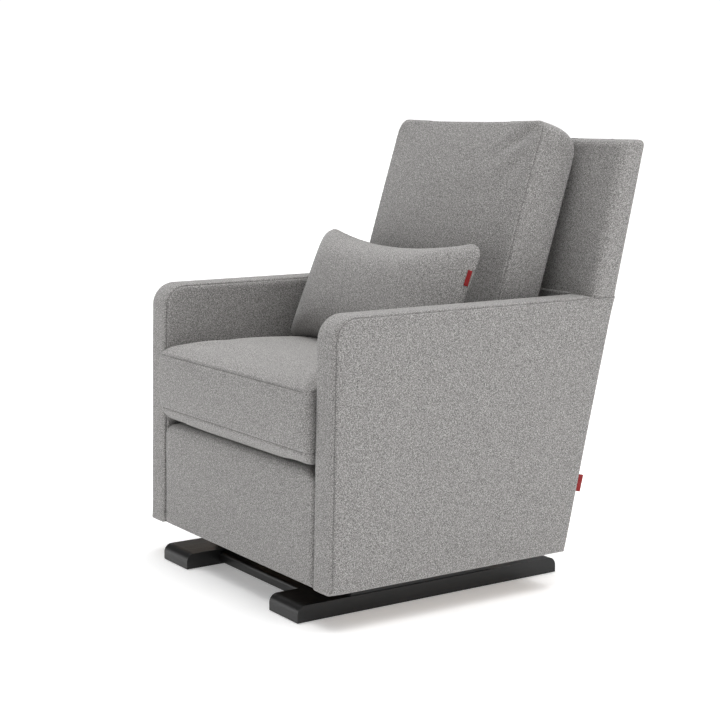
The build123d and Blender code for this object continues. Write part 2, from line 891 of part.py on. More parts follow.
def write_seat_frame():
    save_pair("carrier", carrier())
    save("carrier_screws", both_sides(carrier_screws()))
    save("lower_pivot_bolts", both_sides(lower_pivot_bolts()))
    save("lower_pivot_nuts", both_sides(lower_pivot_nuts()))
    save("lower_pivot_spacers", both_sides(lower_pivot_spacers()))
    save_pair("inner_arm_panel", inner_arm_panel())
    save_pair("outer_arm_panel", outer_arm_panel())
    save_pair("side_rail", side_rail())
    save_pair("arm_post", arm_post())
    save_pair("arm_top_rail", arm_top_rail())
    save_pair("back_post", back_post())
    save("front_rail", front_rail())
    save("rear_rail", cross_plank(wood_bottom, spring_rail_top, plank_thickness))
    save("back_cross_rail", cross_plank(cross_rail_height, cross_rail_height + rail_depth, plank_thickness))
    top = back_height - cover_gap
    top_rail_thickness = wood_rear_layer() - post_layer
    save("back_top_rail", cross_plank(top - rail_depth, top, top_rail_thickness))
    save("corner_blocks", both_sides([corner_blocks()]))
    save("seat_springs", seat_springs())
    save("spring_clips", spring_clips())
    save("back_straps", back_straps())


def write_upholstery():
    save_pair("arm_cover", arm_cover())
    save("front_cover", front_cover())
    save("deck_pad", deck_pad())
    save("back_cover", back_cover())
    save("outside_back", outside_back())
    save("side_tab", side_tab())


def write_cushions():
    seat = seat_cushion()
    back = back_cushion()
    save("seat_cushion", seat)
    save("back_cushion", back)
    save("lumbar_pillow", lumbar_pillow(seat, back))
    save("pillow_tab", pillow_tab())


os.makedirs("parts", exist_ok=True)
write_base()
write_links()
write_seat_frame()
write_upholstery()
write_cushions()
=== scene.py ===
"""Glider nursery chair: the visible upholstery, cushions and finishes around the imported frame."""

from contextlib import contextmanager
from math import cos, pi, radians, sin, tan

import bmesh
import bpy
import numpy as np
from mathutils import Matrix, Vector, noise
from mathutils.bvhtree import BVHTree
from mathutils.kdtree import KDTree


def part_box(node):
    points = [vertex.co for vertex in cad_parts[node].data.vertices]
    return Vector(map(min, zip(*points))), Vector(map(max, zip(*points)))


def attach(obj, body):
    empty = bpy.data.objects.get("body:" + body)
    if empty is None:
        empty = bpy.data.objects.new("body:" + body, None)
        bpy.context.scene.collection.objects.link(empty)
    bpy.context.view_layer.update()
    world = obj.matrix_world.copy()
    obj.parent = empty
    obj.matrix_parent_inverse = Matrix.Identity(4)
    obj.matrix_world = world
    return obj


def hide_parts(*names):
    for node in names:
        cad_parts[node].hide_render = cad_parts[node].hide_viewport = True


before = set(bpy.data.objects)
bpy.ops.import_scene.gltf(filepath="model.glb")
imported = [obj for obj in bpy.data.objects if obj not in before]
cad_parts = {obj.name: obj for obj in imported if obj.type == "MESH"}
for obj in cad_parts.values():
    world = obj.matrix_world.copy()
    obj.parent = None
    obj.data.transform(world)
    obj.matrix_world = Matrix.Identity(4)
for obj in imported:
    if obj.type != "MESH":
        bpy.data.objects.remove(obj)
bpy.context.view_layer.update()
MM = 0.001

# ---------------------------------------------------------------- places, from the frame (mm)


def box_mm(node):
    """Lowest and highest corner of a CAD node, in millimetres."""
    low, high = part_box(node)
    return np.array(low) / MM, np.array(high) / MM


FRONT_LEAN = radians(1.3)
BACK_RAKE = radians(13.3)
BACK_THICKNESS = 62.0
ARM_COVER_EASE = 4.5
TOP_ROUND = 14.0
NOSE_ROUND = 50.0
BODY_SETBACK = 15.5

arm_low, arm_high = box_mm("arm_cover_right")
rear_high = box_mm("outside_back")[1]
deck_low, deck_high = box_mm("deck_pad")
seat_low, seat_high = box_mm("seat_cushion")
rest_low, rest_high = box_mm("back_cushion")

HALF_WIDTH = arm_high[0]
SEAT_HALF = arm_low[0]
ARM_TOP = arm_high[2] - ARM_COVER_EASE
BOTTOM = arm_low[2]
BACK_TOP = rear_high[2]
HALF_DEPTH = rear_high[1]
DECK = deck_high[2]
DECK_UNDER = deck_low[2]


def front_y(z):
    """The body's front face, which leans back a little."""
    return -HALF_DEPTH + BODY_SETBACK + (z - BOTTOM) * tan(FRONT_LEAN)


def rear_y(z):
    """The body's rear face, raked back to the rounded top corner."""
    tangent = HALF_DEPTH - TOP_ROUND + TOP_ROUND / cos(BACK_RAKE)
    return tangent + (z - BACK_TOP + TOP_ROUND) * tan(BACK_RAKE)


def back_y(z, layer=0.0):
    """A plane in the back, counted backwards from the inside back's face."""
    return rear_y(z) - BACK_THICKNESS + layer


def unit(value):
    """A value held between 0 and 1."""
    return np.clip(value, 0, 1)


def bell(offset, width):
    """Falls from 1 to 0 as an offset grows past a width."""
    return np.exp(-((offset / width) ** 2))


# ---------------------------------------------------------------- materials


class Tree:
    """A node tree with short calls for the nodes that the materials and the world share."""

    def __init__(self, tree):
        self.tree = tree

    def link(self, value, socket):
        if isinstance(value, bpy.types.NodeSocket):
            self.tree.links.new(value, socket)
        elif isinstance(value, tuple) and len(value) == 3 and len(socket.default_value) == 4:
            socket.default_value = (*value, 1.0)
        else:
            socket.default_value = value

    def add(self, kind, **inputs):
        node = self.tree.nodes.new("ShaderNode" + kind)
        for name, value in inputs.items():
            self.link(value, node.inputs[name])
        return node

    def ramp(self, value, *stops):
        """A colour ramp whose stops are pairs of a place and a colour or a grey level."""
        node = self.add("ValToRGB", Fac=value)
        points = node.color_ramp.elements
        while len(points) < len(stops):
            points.new(0.5)
        for point, (place, colour) in zip(points, stops):
            point.position = place
            point.color = (*colour, 1.0) if isinstance(colour, tuple) else (colour, colour, colour, 1.0)
        return node.outputs["Color"]

    def math(self, operation, a, b, kind="Math"):
        node = self.add(kind)
        node.operation = operation
        self.link(a, node.inputs[0])
        self.link(b, node.inputs[1])
        return node.outputs["Value"]


class Material(Tree):
    """A material's node tree, with the patterns and the Principled shader that it ends in."""

    def __init__(self, name):
        self.material = bpy.data.materials.new(name)
        self.material.use_nodes = True
        super().__init__(self.material.node_tree)
        self.tree.nodes.clear()
        output = self.add("OutputMaterial")
        self.shader = self.add("BsdfPrincipled")
        self.link(self.shader.outputs["BSDF"], output.inputs["Surface"])
        self.place = self.add("TexCoord").outputs["Object"]

    def stretched(self, stretch, turn=(0.0, 0.0, 0.0)):
        """Object coordinates, scaled and turned."""
        return self.add("Mapping", Vector=self.place, Scale=stretch, Rotation=turn).outputs["Vector"]

    def noise(self, scale, detail, roughness, stretch=None):
        place = self.stretched(stretch) if stretch else self.place
        return self.add("TexNoise", Vector=place, Scale=scale, Detail=detail, Roughness=roughness).outputs["Fac"]

    def wave(self, scale, axis, distortion):
        node = self.add("TexWave", Vector=self.place, Scale=scale, Distortion=distortion)
        node.bands_direction = axis
        return node.outputs["Fac"]

    def mix(self, amount, a, b, mode="MIX"):
        node = self.add("Mix")
        node.data_type = "RGBA"
        node.blend_type = mode
        for number, value in ((0, amount), (6, a), (7, b)):
            self.link(value, node.inputs[number])
        return node.outputs[2]

    def total(self, *parts):
        """The sum of values, each times its share."""
        total = None
        for value, share in parts:
            value = value if share == 1.0 else self.math("MULTIPLY", value, share)
            total = value if total is None else self.math("ADD", total, value)
        return total

    def bump(self, height, distance, strength):
        node = self.add("Bump", Height=height, Distance=distance, Strength=strength)
        self.link(node.outputs["Normal"], self.shader.inputs["Normal"])

    def finish(self, colour, roughness, **constants):
        self.link(colour, self.shader.inputs["Base Color"])
        self.link(roughness, self.shader.inputs["Roughness"])
        for name, value in constants.items():
            self.link(value, self.shader.inputs[name.replace("_", " ")])
        return self.material


# The grain is turned off the axes, because its noise fades on a flat face that lies along its lattice.
GRAIN_TURN = (0.61, 0.47, 0.83)


def heathered_fabric(name, dark, middle, light):
    """Brushed woven cloth of light and dark fibres mixed in the yarn."""
    n = Material(name)
    upright = n.place
    n.place = n.stretched((1.0, 1.0, 1.0), GRAIN_TURN)
    yarn = n.noise(470.0, 3.0, 0.76)
    fleck = n.noise(900.0, 2.0, 0.6)
    cloud = n.noise(26.0, 2.0, 0.5)
    n.place = upright
    base = n.ramp(yarn, (0.352, dark), (0.5, middle), (0.648, light))
    spark = n.ramp(fleck, (0.30, 0.62), (0.45, 1.0), (0.58, 1.0), (0.74, 1.35))
    colour = n.mix(1.0, base, spark, "MULTIPLY")
    tone = n.ramp(cloud, (0.25, 0.98), (0.75, 1.02))
    colour = n.mix(1.0, colour, tone, "MULTIPLY")
    weave = n.total(*((n.wave(210.0, axis, 0.6), 1.0) for axis in "XYZ"))
    n.bump(n.total((weave, 0.25), (yarn, 1.3), (fleck, 0.6)), 0.0008, 0.40)
    rough = n.ramp(yarn, (0.3, 0.86), (0.7, 0.97))
    return n.finish(colour, rough, Sheen_Weight=0.22, Sheen_Roughness=0.45, Specular_IOR_Level=0.18)


def plain_finish(name, patterns, colour, rough, height, bump, **constants):
    """A finish of one or two noises: which one colours it, which one roughens it, and how much of each stands up."""
    n = Material(name)
    noises = [n.noise(*pattern) for pattern in patterns]
    n.bump(n.total(*zip(noises, height)), *bump)
    return n.finish(n.ramp(noises[colour[0]], *colour[1:]), n.ramp(noises[rough[0]], *rough[1:]), **constants)


# For each finish: its noises as (scale, detail, roughness, stretch), then plain_finish's other values.
PLAIN_FINISHES = {
    # Black lacquer over fine-grained wood, worn a little lighter in the grain.
    "black_lacquered_wood": (
        ((60.0, 5.0, 0.65, (1.6, 0.16, 1.6)), (420.0, 2.0, 0.6, (1.0, 0.08, 1.0))),
        (0, (0.3, (0.0060, 0.0061, 0.0063)), (0.75, (0.0125, 0.0126, 0.0128))),
        (1, (0.3, 0.30), (0.7, 0.42)), (0.5, 0.5), (0.0003, 0.35),
        {"Coat_Weight": 0.2, "Coat_Roughness": 0.2, "Specular_IOR_Level": 0.28},
    ),
    # Black powder coat with its fine orange-peel texture.
    "black_steel": (
        ((900.0, 2.0, 0.5), (38.0, 3.0, 0.55)),
        (1, (0.3, (0.010, 0.010, 0.011)), (0.8, (0.022, 0.022, 0.023))),
        (0, (0.3, 0.42), (0.7, 0.56)), (1.0,), (0.0003, 0.4), {"Specular_IOR_Level": 0.5},
    ),
    "hardwood": (
        ((26.0, 6.0, 0.65, (0.2, 1.8, 1.8)), (240.0, 2.0, 0.5, (1.0, 0.3, 0.3))),
        (0, (0.25, (0.33, 0.20, 0.10)), (0.6, (0.55, 0.37, 0.21)), (0.85, (0.62, 0.44, 0.27))),
        (1, (0.3, 0.6), (0.7, 0.78)), (1.0, 0.4), (0.0005, 0.35), {},
    ),
    "bumper_rubber": (
        ((600.0, 3.0, 0.6),), (0, (0.3, (0.014, 0.014, 0.014)), (0.75, (0.030, 0.030, 0.031))),
        (0, (0.3, 0.66), (0.7, 0.82)), (1.0,), (0.0003, 0.4), {},
    ),
    "floor_glide_plastic": (
        ((700.0, 2.0, 0.5), (90.0, 4.0, 0.7, (1.0, 0.2, 1.0))),
        (1, (0.35, (0.020, 0.020, 0.021)), (0.8, (0.055, 0.055, 0.057))),
        (1, (0.3, 0.42), (0.7, 0.6)), (1.0,), (0.0002, 0.35), {},
    ),
    # Black nonwoven felt with its matted fibres.
    "deck_felt": (
        ((520.0, 5.0, 0.75, (1.0, 0.45, 1.0)), (70.0, 3.0, 0.6)),
        (0, (0.3, (0.018, 0.018, 0.019)), (0.7, (0.060, 0.060, 0.062))),
        (1, (0.3, 0.88), (0.7, 0.97)), (1.0, 0.8), (0.0009, 0.6), {"Sheen_Weight": 0.3},
    ),
}


def brushed_metal(name, colour_low, colour_high, roughness):
    n = Material(name)
    streak = n.noise(300.0, 4.0, 0.6, (0.2, 1.0, 1.0))
    spot = n.noise(45.0, 3.0, 0.6)
    colour = n.mix(n.ramp(spot, (0.35, 0.0), (0.7, 1.0)), colour_low, colour_high)
    n.bump(streak, 0.0002, 0.25)
    return n.finish(colour, n.ramp(streak, (0.3, roughness - 0.07), (0.7, roughness + 0.09)), Metallic=1.0)


def layered_plywood(name):
    """Birch plywood with its plies showing on the cut edges, across X."""
    n = Material(name)
    grain = n.noise(30.0, 5.0, 0.6, (2.0, 2.0, 0.18))
    plies = n.ramp(n.wave(260.0, "X", 0.4), (0.4, 0.78), (0.6, 1.0))
    base = n.ramp(grain, (0.3, (0.44, 0.29, 0.16)), (0.7, (0.66, 0.48, 0.30)))
    colour = n.mix(1.0, base, plies, "MULTIPLY")
    n.bump(grain, 0.0004, 0.3)
    return n.finish(colour, n.ramp(grain, (0.3, 0.55), (0.7, 0.7)))


def webbing(name):
    """Elastic webbing: lengthwise ribs with rubber threads between them."""
    n = Material(name)
    ribs = n.wave(95.0, "Z", 0.2)
    threads = n.wave(300.0, "X", 0.3)
    base = n.ramp(ribs, (0.3, (0.10, 0.09, 0.075)), (0.7, (0.40, 0.36, 0.29)))
    n.bump(n.total((ribs, 1.0), (threads, 0.4)), 0.0006, 0.7)
    return n.finish(base, n.ramp(threads, (0.3, 0.75), (0.7, 0.9)))


def ribbon(name):
    """Red woven tab: fine satin ribs with a paler thread now and then."""
    n = Material(name)
    ribs = n.wave(700.0, "Z", 0.15)
    thread = n.noise(900.0, 2.0, 0.5)
    base = n.ramp(ribs, (0.25, (0.20, 0.006, 0.008)), (0.75, (0.31, 0.010, 0.012)))
    colour = n.mix(0.35, base, n.ramp(thread, (0.35, (0.18, 0.006, 0.008)), (0.7, (0.38, 0.022, 0.020))))
    n.bump(n.total((ribs, 1.0), (thread, 1.0)), 0.0003, 0.5)
    return n.finish(colour, n.ramp(thread, (0.3, 0.5), (0.7, 0.66)), Sheen_Weight=0.05, Specular_IOR_Level=0.25)


FABRIC = heathered_fabric(
    "upholstery_fabric", (0.093, 0.0905, 0.089), (0.264, 0.257, 0.2505), (0.530, 0.515, 0.503))
# The seam threads' darker yarn is painted shade: it stands in for the shade inside the seam grooves.
SEAM_PAINTED_SHADE = heathered_fabric("seam_thread", (0.075, 0.073, 0.071), (0.132, 0.1285, 0.125), (0.200, 0.195, 0.190))
FINISHES = {
    "upholstery_fabric": FABRIC,
    "zinc_steel": brushed_metal("zinc_steel", (0.50, 0.51, 0.52), (0.68, 0.68, 0.66), 0.34),
    "plywood": layered_plywood("plywood"),
    "webbing": webbing("webbing"),
    "red_tab": ribbon("red_tab"),
}
for title, (*values, constants) in PLAIN_FINISHES.items():
    FINISHES[title] = plain_finish(title, *values, **constants)

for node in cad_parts.values():
    for material_slot in node.material_slots:
        wanted = material_slot.material.name.split(".")[0] if material_slot.material else ""
        for key, finish in FINISHES.items():
            if key in wanted:
                material_slot.material = finish

# ---------------------------------------------------------------- mesh helpers
MERGE_DISTANCE = 1e-6
CLOTH_THICKNESS = 1.6


def linked(name, data):
    """An object of this data, in the scene."""
    thing = bpy.data.objects.new(name, data)
    bpy.context.scene.collection.objects.link(thing)
    return thing


@contextmanager
def edited(mesh):
    """The mesh's own faces and points, written back to it when the block ends."""
    work = bmesh.new()
    work.from_mesh(mesh)
    yield work
    work.to_mesh(mesh)
    work.free()


def linked_mesh(name, points, faces, merge=True):
    """An object from points in millimetres, with its normals outward."""
    mesh = bpy.data.meshes.new(name)
    mesh.from_pydata([tuple(p) for p in np.asarray(points) * MM], [], [tuple(map(int, f)) for f in faces])
    with edited(mesh) as work:
        if merge:
            bmesh.ops.remove_doubles(work, verts=work.verts, dist=MERGE_DISTANCE)
            bmesh.ops.dissolve_degenerate(work, edges=work.edges, dist=MERGE_DISTANCE)
        bmesh.ops.recalc_face_normals(work, faces=work.faces)
    return linked(name, mesh)


def finish_piece(piece, body):
    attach(piece, body)


def shade_smooth(piece):
    piece.data.polygons.foreach_set("use_smooth", [True] * len(piece.data.polygons))


def new_piece(name, points, faces, material, body, thickness=0.0):
    """A smooth-shaded mesh piece on a body, from points in millimetres."""
    piece = linked_mesh(name, points, faces)
    piece.data.materials.append(material)
    shade_smooth(piece)
    if thickness:
        solid = piece.modifiers.new("cloth_thickness", "SOLIDIFY")
        solid.thickness = thickness * MM
        solid.offset = -1.0
    finish_piece(piece, body)
    return piece


def new_cover(name, points, faces, node, trim=None):
    """A tight padded cover of the seat body, which stands for a CAD node."""
    piece = new_piece(name, points, faces, FABRIC, "seat_body", CLOTH_THICKNESS)
    if trim:
        trim(piece)
    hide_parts(node)


def grid_faces(grid):
    """Quads between the point numbers of a grid."""
    corners = (grid[:-1, :-1], grid[:-1, 1:], grid[1:, 1:], grid[1:, :-1])
    return np.stack(corners, -1).reshape(-1, 4).tolist()


def ring_faces(start, rings, count, closed=True, looped=False):
    """Quads between consecutive rings of count points each; looped joins the last ring to the first."""
    grid = start + np.arange(rings * count).reshape(rings, count)
    if closed:
        grid = np.column_stack([grid, grid[:, 0]])
    return grid_faces(np.vstack([grid, grid[:1]]) if looped else grid)


def run(begin, end, steps):
    """Evenly spaced points from one place up to, but not including, another."""
    return begin + (end - begin) * np.linspace(0, 1, steps, endpoint=False)[:, None]


def soft_ripple(points, size, amount, seed):
    """Smooth noise for each point, between about -amount and +amount."""
    shift = Vector((seed * 7.3, seed * 3.1, seed * 5.7))
    return np.array([amount * noise.noise(Vector(p) / size + shift) for p in points])


def coons(bottom, right, top, left):
    """Inner points of a patch between four boundary lines that share their corners."""
    across, up = len(bottom) - 1, len(right) - 1
    u = (np.arange(1, across) / across)[:, None, None]
    v = (np.arange(1, up) / up)[None, :, None]
    blend_v = (1 - v) * bottom[1:-1, None] + v * top[1:-1, None]
    blend_u = (1 - u) * left[None, 1:-1] + u * right[None, 1:-1]
    corners = ((1 - u) * (1 - v) * bottom[0] + u * (1 - v) * bottom[-1]
               + (1 - u) * v * top[0] + u * v * top[-1])
    return blend_u + blend_v - corners


def fill_loop(loop, start, n_up, n_across, points, faces):
    """Fills a closed loop whose sides hold n_up, n_across, n_up and n_across steps."""
    a, b, c = n_up, n_up + n_across, 2 * n_up + n_across
    ends = ((0, a + 1, 1), (a, b + 1, 1), (c, b - 1, -1), (c + n_across, c - 1, -1))
    sides = [np.arange(*values) % len(loop) for values in ends]
    left, top, right, bottom = [loop[side] for side in sides]
    inner = coons(bottom, right, top, left)
    grid = np.zeros((n_across + 1, n_up + 1), int)
    grid[0], grid[:, -1], grid[-1], grid[:, 0] = [start + side for side in sides]
    grid[1:-1, 1:-1] = len(points) + np.arange((n_across - 1) * (n_up - 1)).reshape(n_across - 1, n_up - 1)
    points.extend(inner.reshape(-1, loop.shape[1]))
    faces.extend(grid_faces(grid))


SEAM_OFFSETS = np.array((-5.5, -3.6, -2.4, -1.5, -0.8, 0.0, 0.8, 1.5, 2.4, 3.6, 5.5))


def groove(offset, depth=1.8, width=1.25, beside=4.2, puff=2.0):
    """The dip of a sewn seam, with the cloth puffed a little on both sides of it."""
    return -depth * bell(offset, width) + 0.5 * bell(abs(offset) - beside, puff)


def swell(distance, reach):
    """Rises from 0 towards 1 away from an edge."""
    return 1 - np.exp(-np.clip(distance, 0, None) / reach)


# ---------------------------------------------------------------- arms
ARM_STEPS_UP = 96
ARM_STEPS_ARC = 12
ARM_STEPS_TOP = 108
REAR_RECESS = 1.0
SEAM_LEVEL = ARM_TOP - 3.6
EDGE_ROUND = 16.0
REAR_EDGE_ROUND = 8.0
LOW_EDGE_ROUND = 9.0
HIDDEN_EDGE_ROUND = 3.0
FACE_STEPS = (4.0, 10.0, 18.0, 27.0)
BAND_CROWN = 0.4
FACE_CROWN = 1.6
SEAM_RING = 8
INNER_REACH = 26.0
INNER_EDGE = DECK_UNDER - 13.0
RING_COUNT = 2 * (ARM_STEPS_UP + ARM_STEPS_ARC + ARM_STEPS_TOP + ARM_STEPS_ARC)
EDGE_TURNS = np.concatenate([[0, 0.16, 0.32], pi / 4 + SEAM_OFFSETS / EDGE_ROUND, [1.26, 1.42, pi / 2]])
EDGE_DIPS = np.pad(groove(SEAM_OFFSETS), 3)
BACK_LAP = 4.0
LOW_RIM = 20.0
arm_seams = []


def arm_side(inset):
    """The arm's side view as a closed loop of (y, z), drawn in by an inset."""
    lean, rake = cos(FRONT_LEAN), cos(BACK_RAKE)
    low, high = BOTTOM + inset, ARM_TOP - inset
    centre = np.array([front_y(ARM_TOP - NOSE_ROUND) + NOSE_ROUND / lean, ARM_TOP - NOSE_ROUND])
    radius = NOSE_ROUND - inset
    start = np.array([front_y(low) + inset / lean, low])
    turns = np.linspace(0, pi / 2 - FRONT_LEAN, 2 * ARM_STEPS_ARC + 1)
    arc = centre + radius * np.stack([-np.cos(turns + FRONT_LEAN), np.sin(turns + FRONT_LEAN)], 1)
    top_rear, low_rear = [np.array([rear_y(z) - REAR_RECESS - inset / rake, z]) for z in (high, low)]
    return np.vstack([
        run(start, arc[0], ARM_STEPS_UP), arc[:-1], run(arc[-1], top_rear, ARM_STEPS_TOP),
        run(top_rear, low_rear, ARM_STEPS_UP + ARM_STEPS_ARC), run(low_rear, start, ARM_STEPS_TOP + ARM_STEPS_ARC),
    ])


def smooth_around(values, width):
    """Circular smoothing of a value along a loop."""
    reach = np.arange(-3 * width, 3 * width + 1)
    weights = np.exp(-0.5 * (reach / width) ** 2)
    weights /= weights.sum()
    return sum(w * np.roll(values, r) for w, r in zip(weights, reach))


def build_arm(side):
    """The whole cover of one arm, swept round the side view with a seam on both edges."""
    name = "right" if side > 0 else "left"
    outline = arm_side(0.0)
    index = np.arange(RING_COUNT)
    top_end = ARM_STEPS_UP + 2 * ARM_STEPS_ARC + ARM_STEPS_TOP
    rear_end = top_end + ARM_STEPS_UP + ARM_STEPS_ARC
    behind = (index <= top_end) & (outline[:, 0] > back_y(ARM_TOP) - 4)
    radius = np.where(index < top_end, EDGE_ROUND, np.where(index < rear_end, REAR_EDGE_ROUND, LOW_EDGE_ROUND))
    radius = np.maximum(smooth_around(np.where(behind, HIDDEN_EDGE_ROUND, radius), 3), 2.0)
    sewn = smooth_around(np.where(index < top_end, 1.0, 0.0), 2)

    def loop_at(inset, x):
        """A ring with an inset and an x for each of its points."""
        levels = np.linspace(*np.round((inset.min(), inset.max()), 4), 9)
        table = np.array([arm_side(level) for level in levels])
        where = np.clip((inset - levels[0]) / max(levels[1] - levels[0], 1e-9), 0, len(levels) - 1.0001)
        low = where.astype(int)
        part = (where - low)[:, None]
        return np.column_stack([x, table[low, index] * (1 - part) + table[low + 1, index] * part])

    def edge_rings(face_x, way):
        """Rings from the band round the edge to the side face, and a little way into it."""
        rings = []
        for turn, dip in zip(EDGE_TURNS, EDGE_DIPS):
            reach = radius + dip * sewn
            rings.append(loop_at(radius - reach * cos(turn), face_x - way * (radius - reach * sin(turn))))
        return rings + [loop_at(radius + step, np.full(RING_COUNT, face_x)) for step in FACE_STEPS]

    outer = edge_rings(HALF_WIDTH, 1)
    inner = edge_rings(SEAT_HALF, -1)
    band = []
    for part in np.linspace(0, 1, 11)[1:-1]:
        x = inner[0][:, 0] * (1 - part) + outer[0][:, 0] * part
        band.append(loop_at(-BAND_CROWN * sin(pi * part) * sewn, x))
    rings = inner[::-1] + band + outer
    points = list(np.vstack(rings))
    faces = ring_faces(0, len(rings), RING_COUNT)
    for ring in (len(rings) - 1, 0):
        fill_loop(rings[ring], ring * RING_COUNT, ARM_STEPS_UP + ARM_STEPS_ARC, ARM_STEPS_ARC + ARM_STEPS_TOP,
                  points, faces)
    points = np.array(points)
    x, y, z = points.T
    x += face_crown(x, y, z)
    drop = unit((y - back_y(z) + 10) / 16)
    drop = drop * drop * (3 - 2 * drop)
    z -= drop * (ARM_TOP - SEAM_LEVEL) * unit(1 - (ARM_TOP - z) / 40)
    x += soft_ripple(points, size=120.0, amount=0.9, seed=1) * unit((z - BOTTOM) / 40)
    y += soft_ripple(points, size=90.0, amount=0.7, seed=2) * (y < 0)
    x *= side
    stitched = np.flatnonzero((sewn > 0.9) & (outline[:, 0] < back_y(ARM_TOP) - 6))
    for ring in (len(inner) - 1 - SEAM_RING, len(inner) + len(band) + SEAM_RING):
        arm_seams.append(points[ring * RING_COUNT + stitched])
    new_cover(f"arm_upholstery_{name}", points, faces, f"arm_cover_{name}", trim=cut_arm)


def face_crown(x, y, z):
    """The side faces stand very slightly proud in their middle, as cloth over padding does."""
    edge = np.minimum.reduce([z - BOTTOM, ARM_TOP - z, y - front_y(z), rear_y(z) - y])
    rise = FACE_CROWN * swell(edge - EDGE_ROUND, 45.0)
    middle = (HALF_WIDTH + SEAT_HALF) / 2
    return np.where(x > middle + 30, rise, np.where(x < middle - 30, -0.6 * rise, 0))


def is_inner(c):
    """Whether a place is on an arm's inner face, behind its front edge."""
    return abs(c.x) < SEAT_HALF + 6 and c.y > front_y(c.z) + INNER_REACH


def is_open(c):
    """Whether a place on an arm is left out: under the deck rail, inside the back, or below."""
    depth = c.y - front_y(c.z)
    under_inner = is_inner(c) and c.z < INNER_EDGE
    in_back = abs(c.x) < HALF_WIDTH - 12 and c.y > back_y(c.z, BACK_LAP)
    open_floor = c.z < BOTTOM + 3 and SEAT_HALF + LOW_RIM < abs(c.x) < HALF_WIDTH - LOW_RIM and depth > 30
    inner_floor = c.z < BOTTOM + 12 and abs(c.x) <= SEAT_HALF + LOW_RIM and depth > INNER_REACH
    return under_inner or in_back or open_floor or inner_floor


def centre_of(face):
    return face.calc_center_median() / MM


def cut_arm(piece):
    """Opens the shell below, where the frame shows, and ends the inner face above the deck rail."""
    cuts = (
        ((0, 0, INNER_EDGE), (0, 0, 1), is_inner),
        ((0, back_y(ARM_TOP, BACK_LAP), ARM_TOP), (0, cos(BACK_RAKE), -sin(BACK_RAKE)),
         lambda c: abs(c.x) < HALF_WIDTH - 9),
    )
    with edited(piece.data) as work:
        for point, normal, keep in cuts:
            geometry = [f for f in work.faces if keep(centre_of(f))]
            edges = {e for f in geometry for e in f.edges}
            verts = {v for f in geometry for v in f.verts}
            bmesh.ops.bisect_plane(work, geom=[*verts, *edges, *geometry], dist=MERGE_DISTANCE,
                                   plane_co=Vector(point) * MM, plane_no=Vector(normal))
        bmesh.ops.delete(work, geom=[f for f in work.faces if is_open(centre_of(f))], context="FACES")


for arm in (1, -1):
    build_arm(arm)


# ---------------------------------------------------------------- back
GUSSET_ROUND = 20.0
REAR_ROUND = 8.0
REAR_LAYER = 61.0
TOP_PUFF = 5.0
RIM_COLUMNS = 30


def slice_loop(half, front, rear, front_round, rear_round, level):
    """One level of the back block: a rounded rectangle from the left rear corner round to the right."""
    sides = []
    for sign in (-1, 1):
        side = []
        for turn in np.linspace(0, pi / 2, 9):
            side.append((half - rear_round * (1 - sin(turn)), rear - rear_round * (1 - cos(turn))))
        side += [(half, layer) for layer in np.linspace(rear - rear_round, front + front_round, 12)[1:-1]]
        for turn in np.linspace(0, pi / 2, 11):
            side.append((half - front_round * (1 - cos(turn)), front + front_round * (1 - sin(turn))))
        sides.append([(sign * x, layer) for x, layer in side][::-sign])
    across = np.linspace(sides[0][-1][0], sides[1][0][0], 91)[1:-1]
    loop = sides[0] + [(x, front) for x in across] + sides[1]
    return np.array([(x, back_y(level, layer), level) for x, layer in loop])


def build_back():
    """The back above the arms as one rounded block, run down between the arms to the deck."""
    levels = list(np.linspace(SEAM_LEVEL + 0.8, BACK_TOP + TOP_PUFF - TOP_ROUND, 56))
    rings = [slice_loop(HALF_WIDTH - 1.4, 0.1, REAR_LAYER - 1.0, GUSSET_ROUND - 1.4, 6.5, SEAM_LEVEL - 0.6),
             slice_loop(HALF_WIDTH - 0.4, 0.0, REAR_LAYER, GUSSET_ROUND - 0.4, 7.5, SEAM_LEVEL - 0.1)]
    rings += [slice_loop(HALF_WIDTH, 0, REAR_LAYER, GUSSET_ROUND, REAR_ROUND, level) for level in levels]
    for turn in np.linspace(0, pi / 2, 11)[1:]:
        inset = TOP_ROUND * (1 - cos(turn))
        level = BACK_TOP + TOP_PUFF - TOP_ROUND * (1 - sin(turn))
        rounds = (max(GUSSET_ROUND - inset, 0.4), max(REAR_ROUND - inset, 0.4))
        rings.append(slice_loop(HALF_WIDTH - inset, inset, REAR_LAYER - inset, *rounds, level))
    count = len(rings[0])
    points = [p for ring in rings for p in ring]
    faces = ring_faces(0, len(rings), count, closed=False)
    half = (count + 1) // 2
    across = np.linspace(0, 1, RIM_COLUMNS + 1)
    upper = [ring for ring in rings if ring[0, 2] > BACK_TOP - 45]
    behind_rim = np.array([0.0, -0.3, 0.0])
    lid = [(a, b, 0) for a, b in zip(rings[-1][:half], rings[-1][::-1])]
    wall = [(ring[0], ring[-1], behind_rim) for ring in upper]
    for rows in (lid, wall):
        faces += ring_faces(len(points), len(rows), RIM_COLUMNS + 1, closed=False)
        points += [a * (1 - t) + b * t + shift for a, b, shift in rows for t in across]
    points = np.array(points)
    points[:, 1] += soft_ripple(points, size=130.0, amount=1.0, seed=3) * (points[:, 2] < BACK_TOP - 20)
    depth_levels = np.linspace(DECK_UNDER, SEAM_LEVEL + 6, 60)
    across = np.linspace(-SEAT_HALF + 0.4, SEAT_HALF - 0.4, 91)
    lower = np.array([(x, back_y(level, 0.5), level) for level in depth_levels for x in across])
    lower[:, 1] += soft_ripple(lower, size=130.0, amount=1.0, seed=3)
    new_cover("inside_back", points, faces, "back_cover")
    lower_faces = ring_faces(0, len(depth_levels), len(across), closed=False)
    new_cover("inside_back_lower", lower, lower_faces, "back_cover")


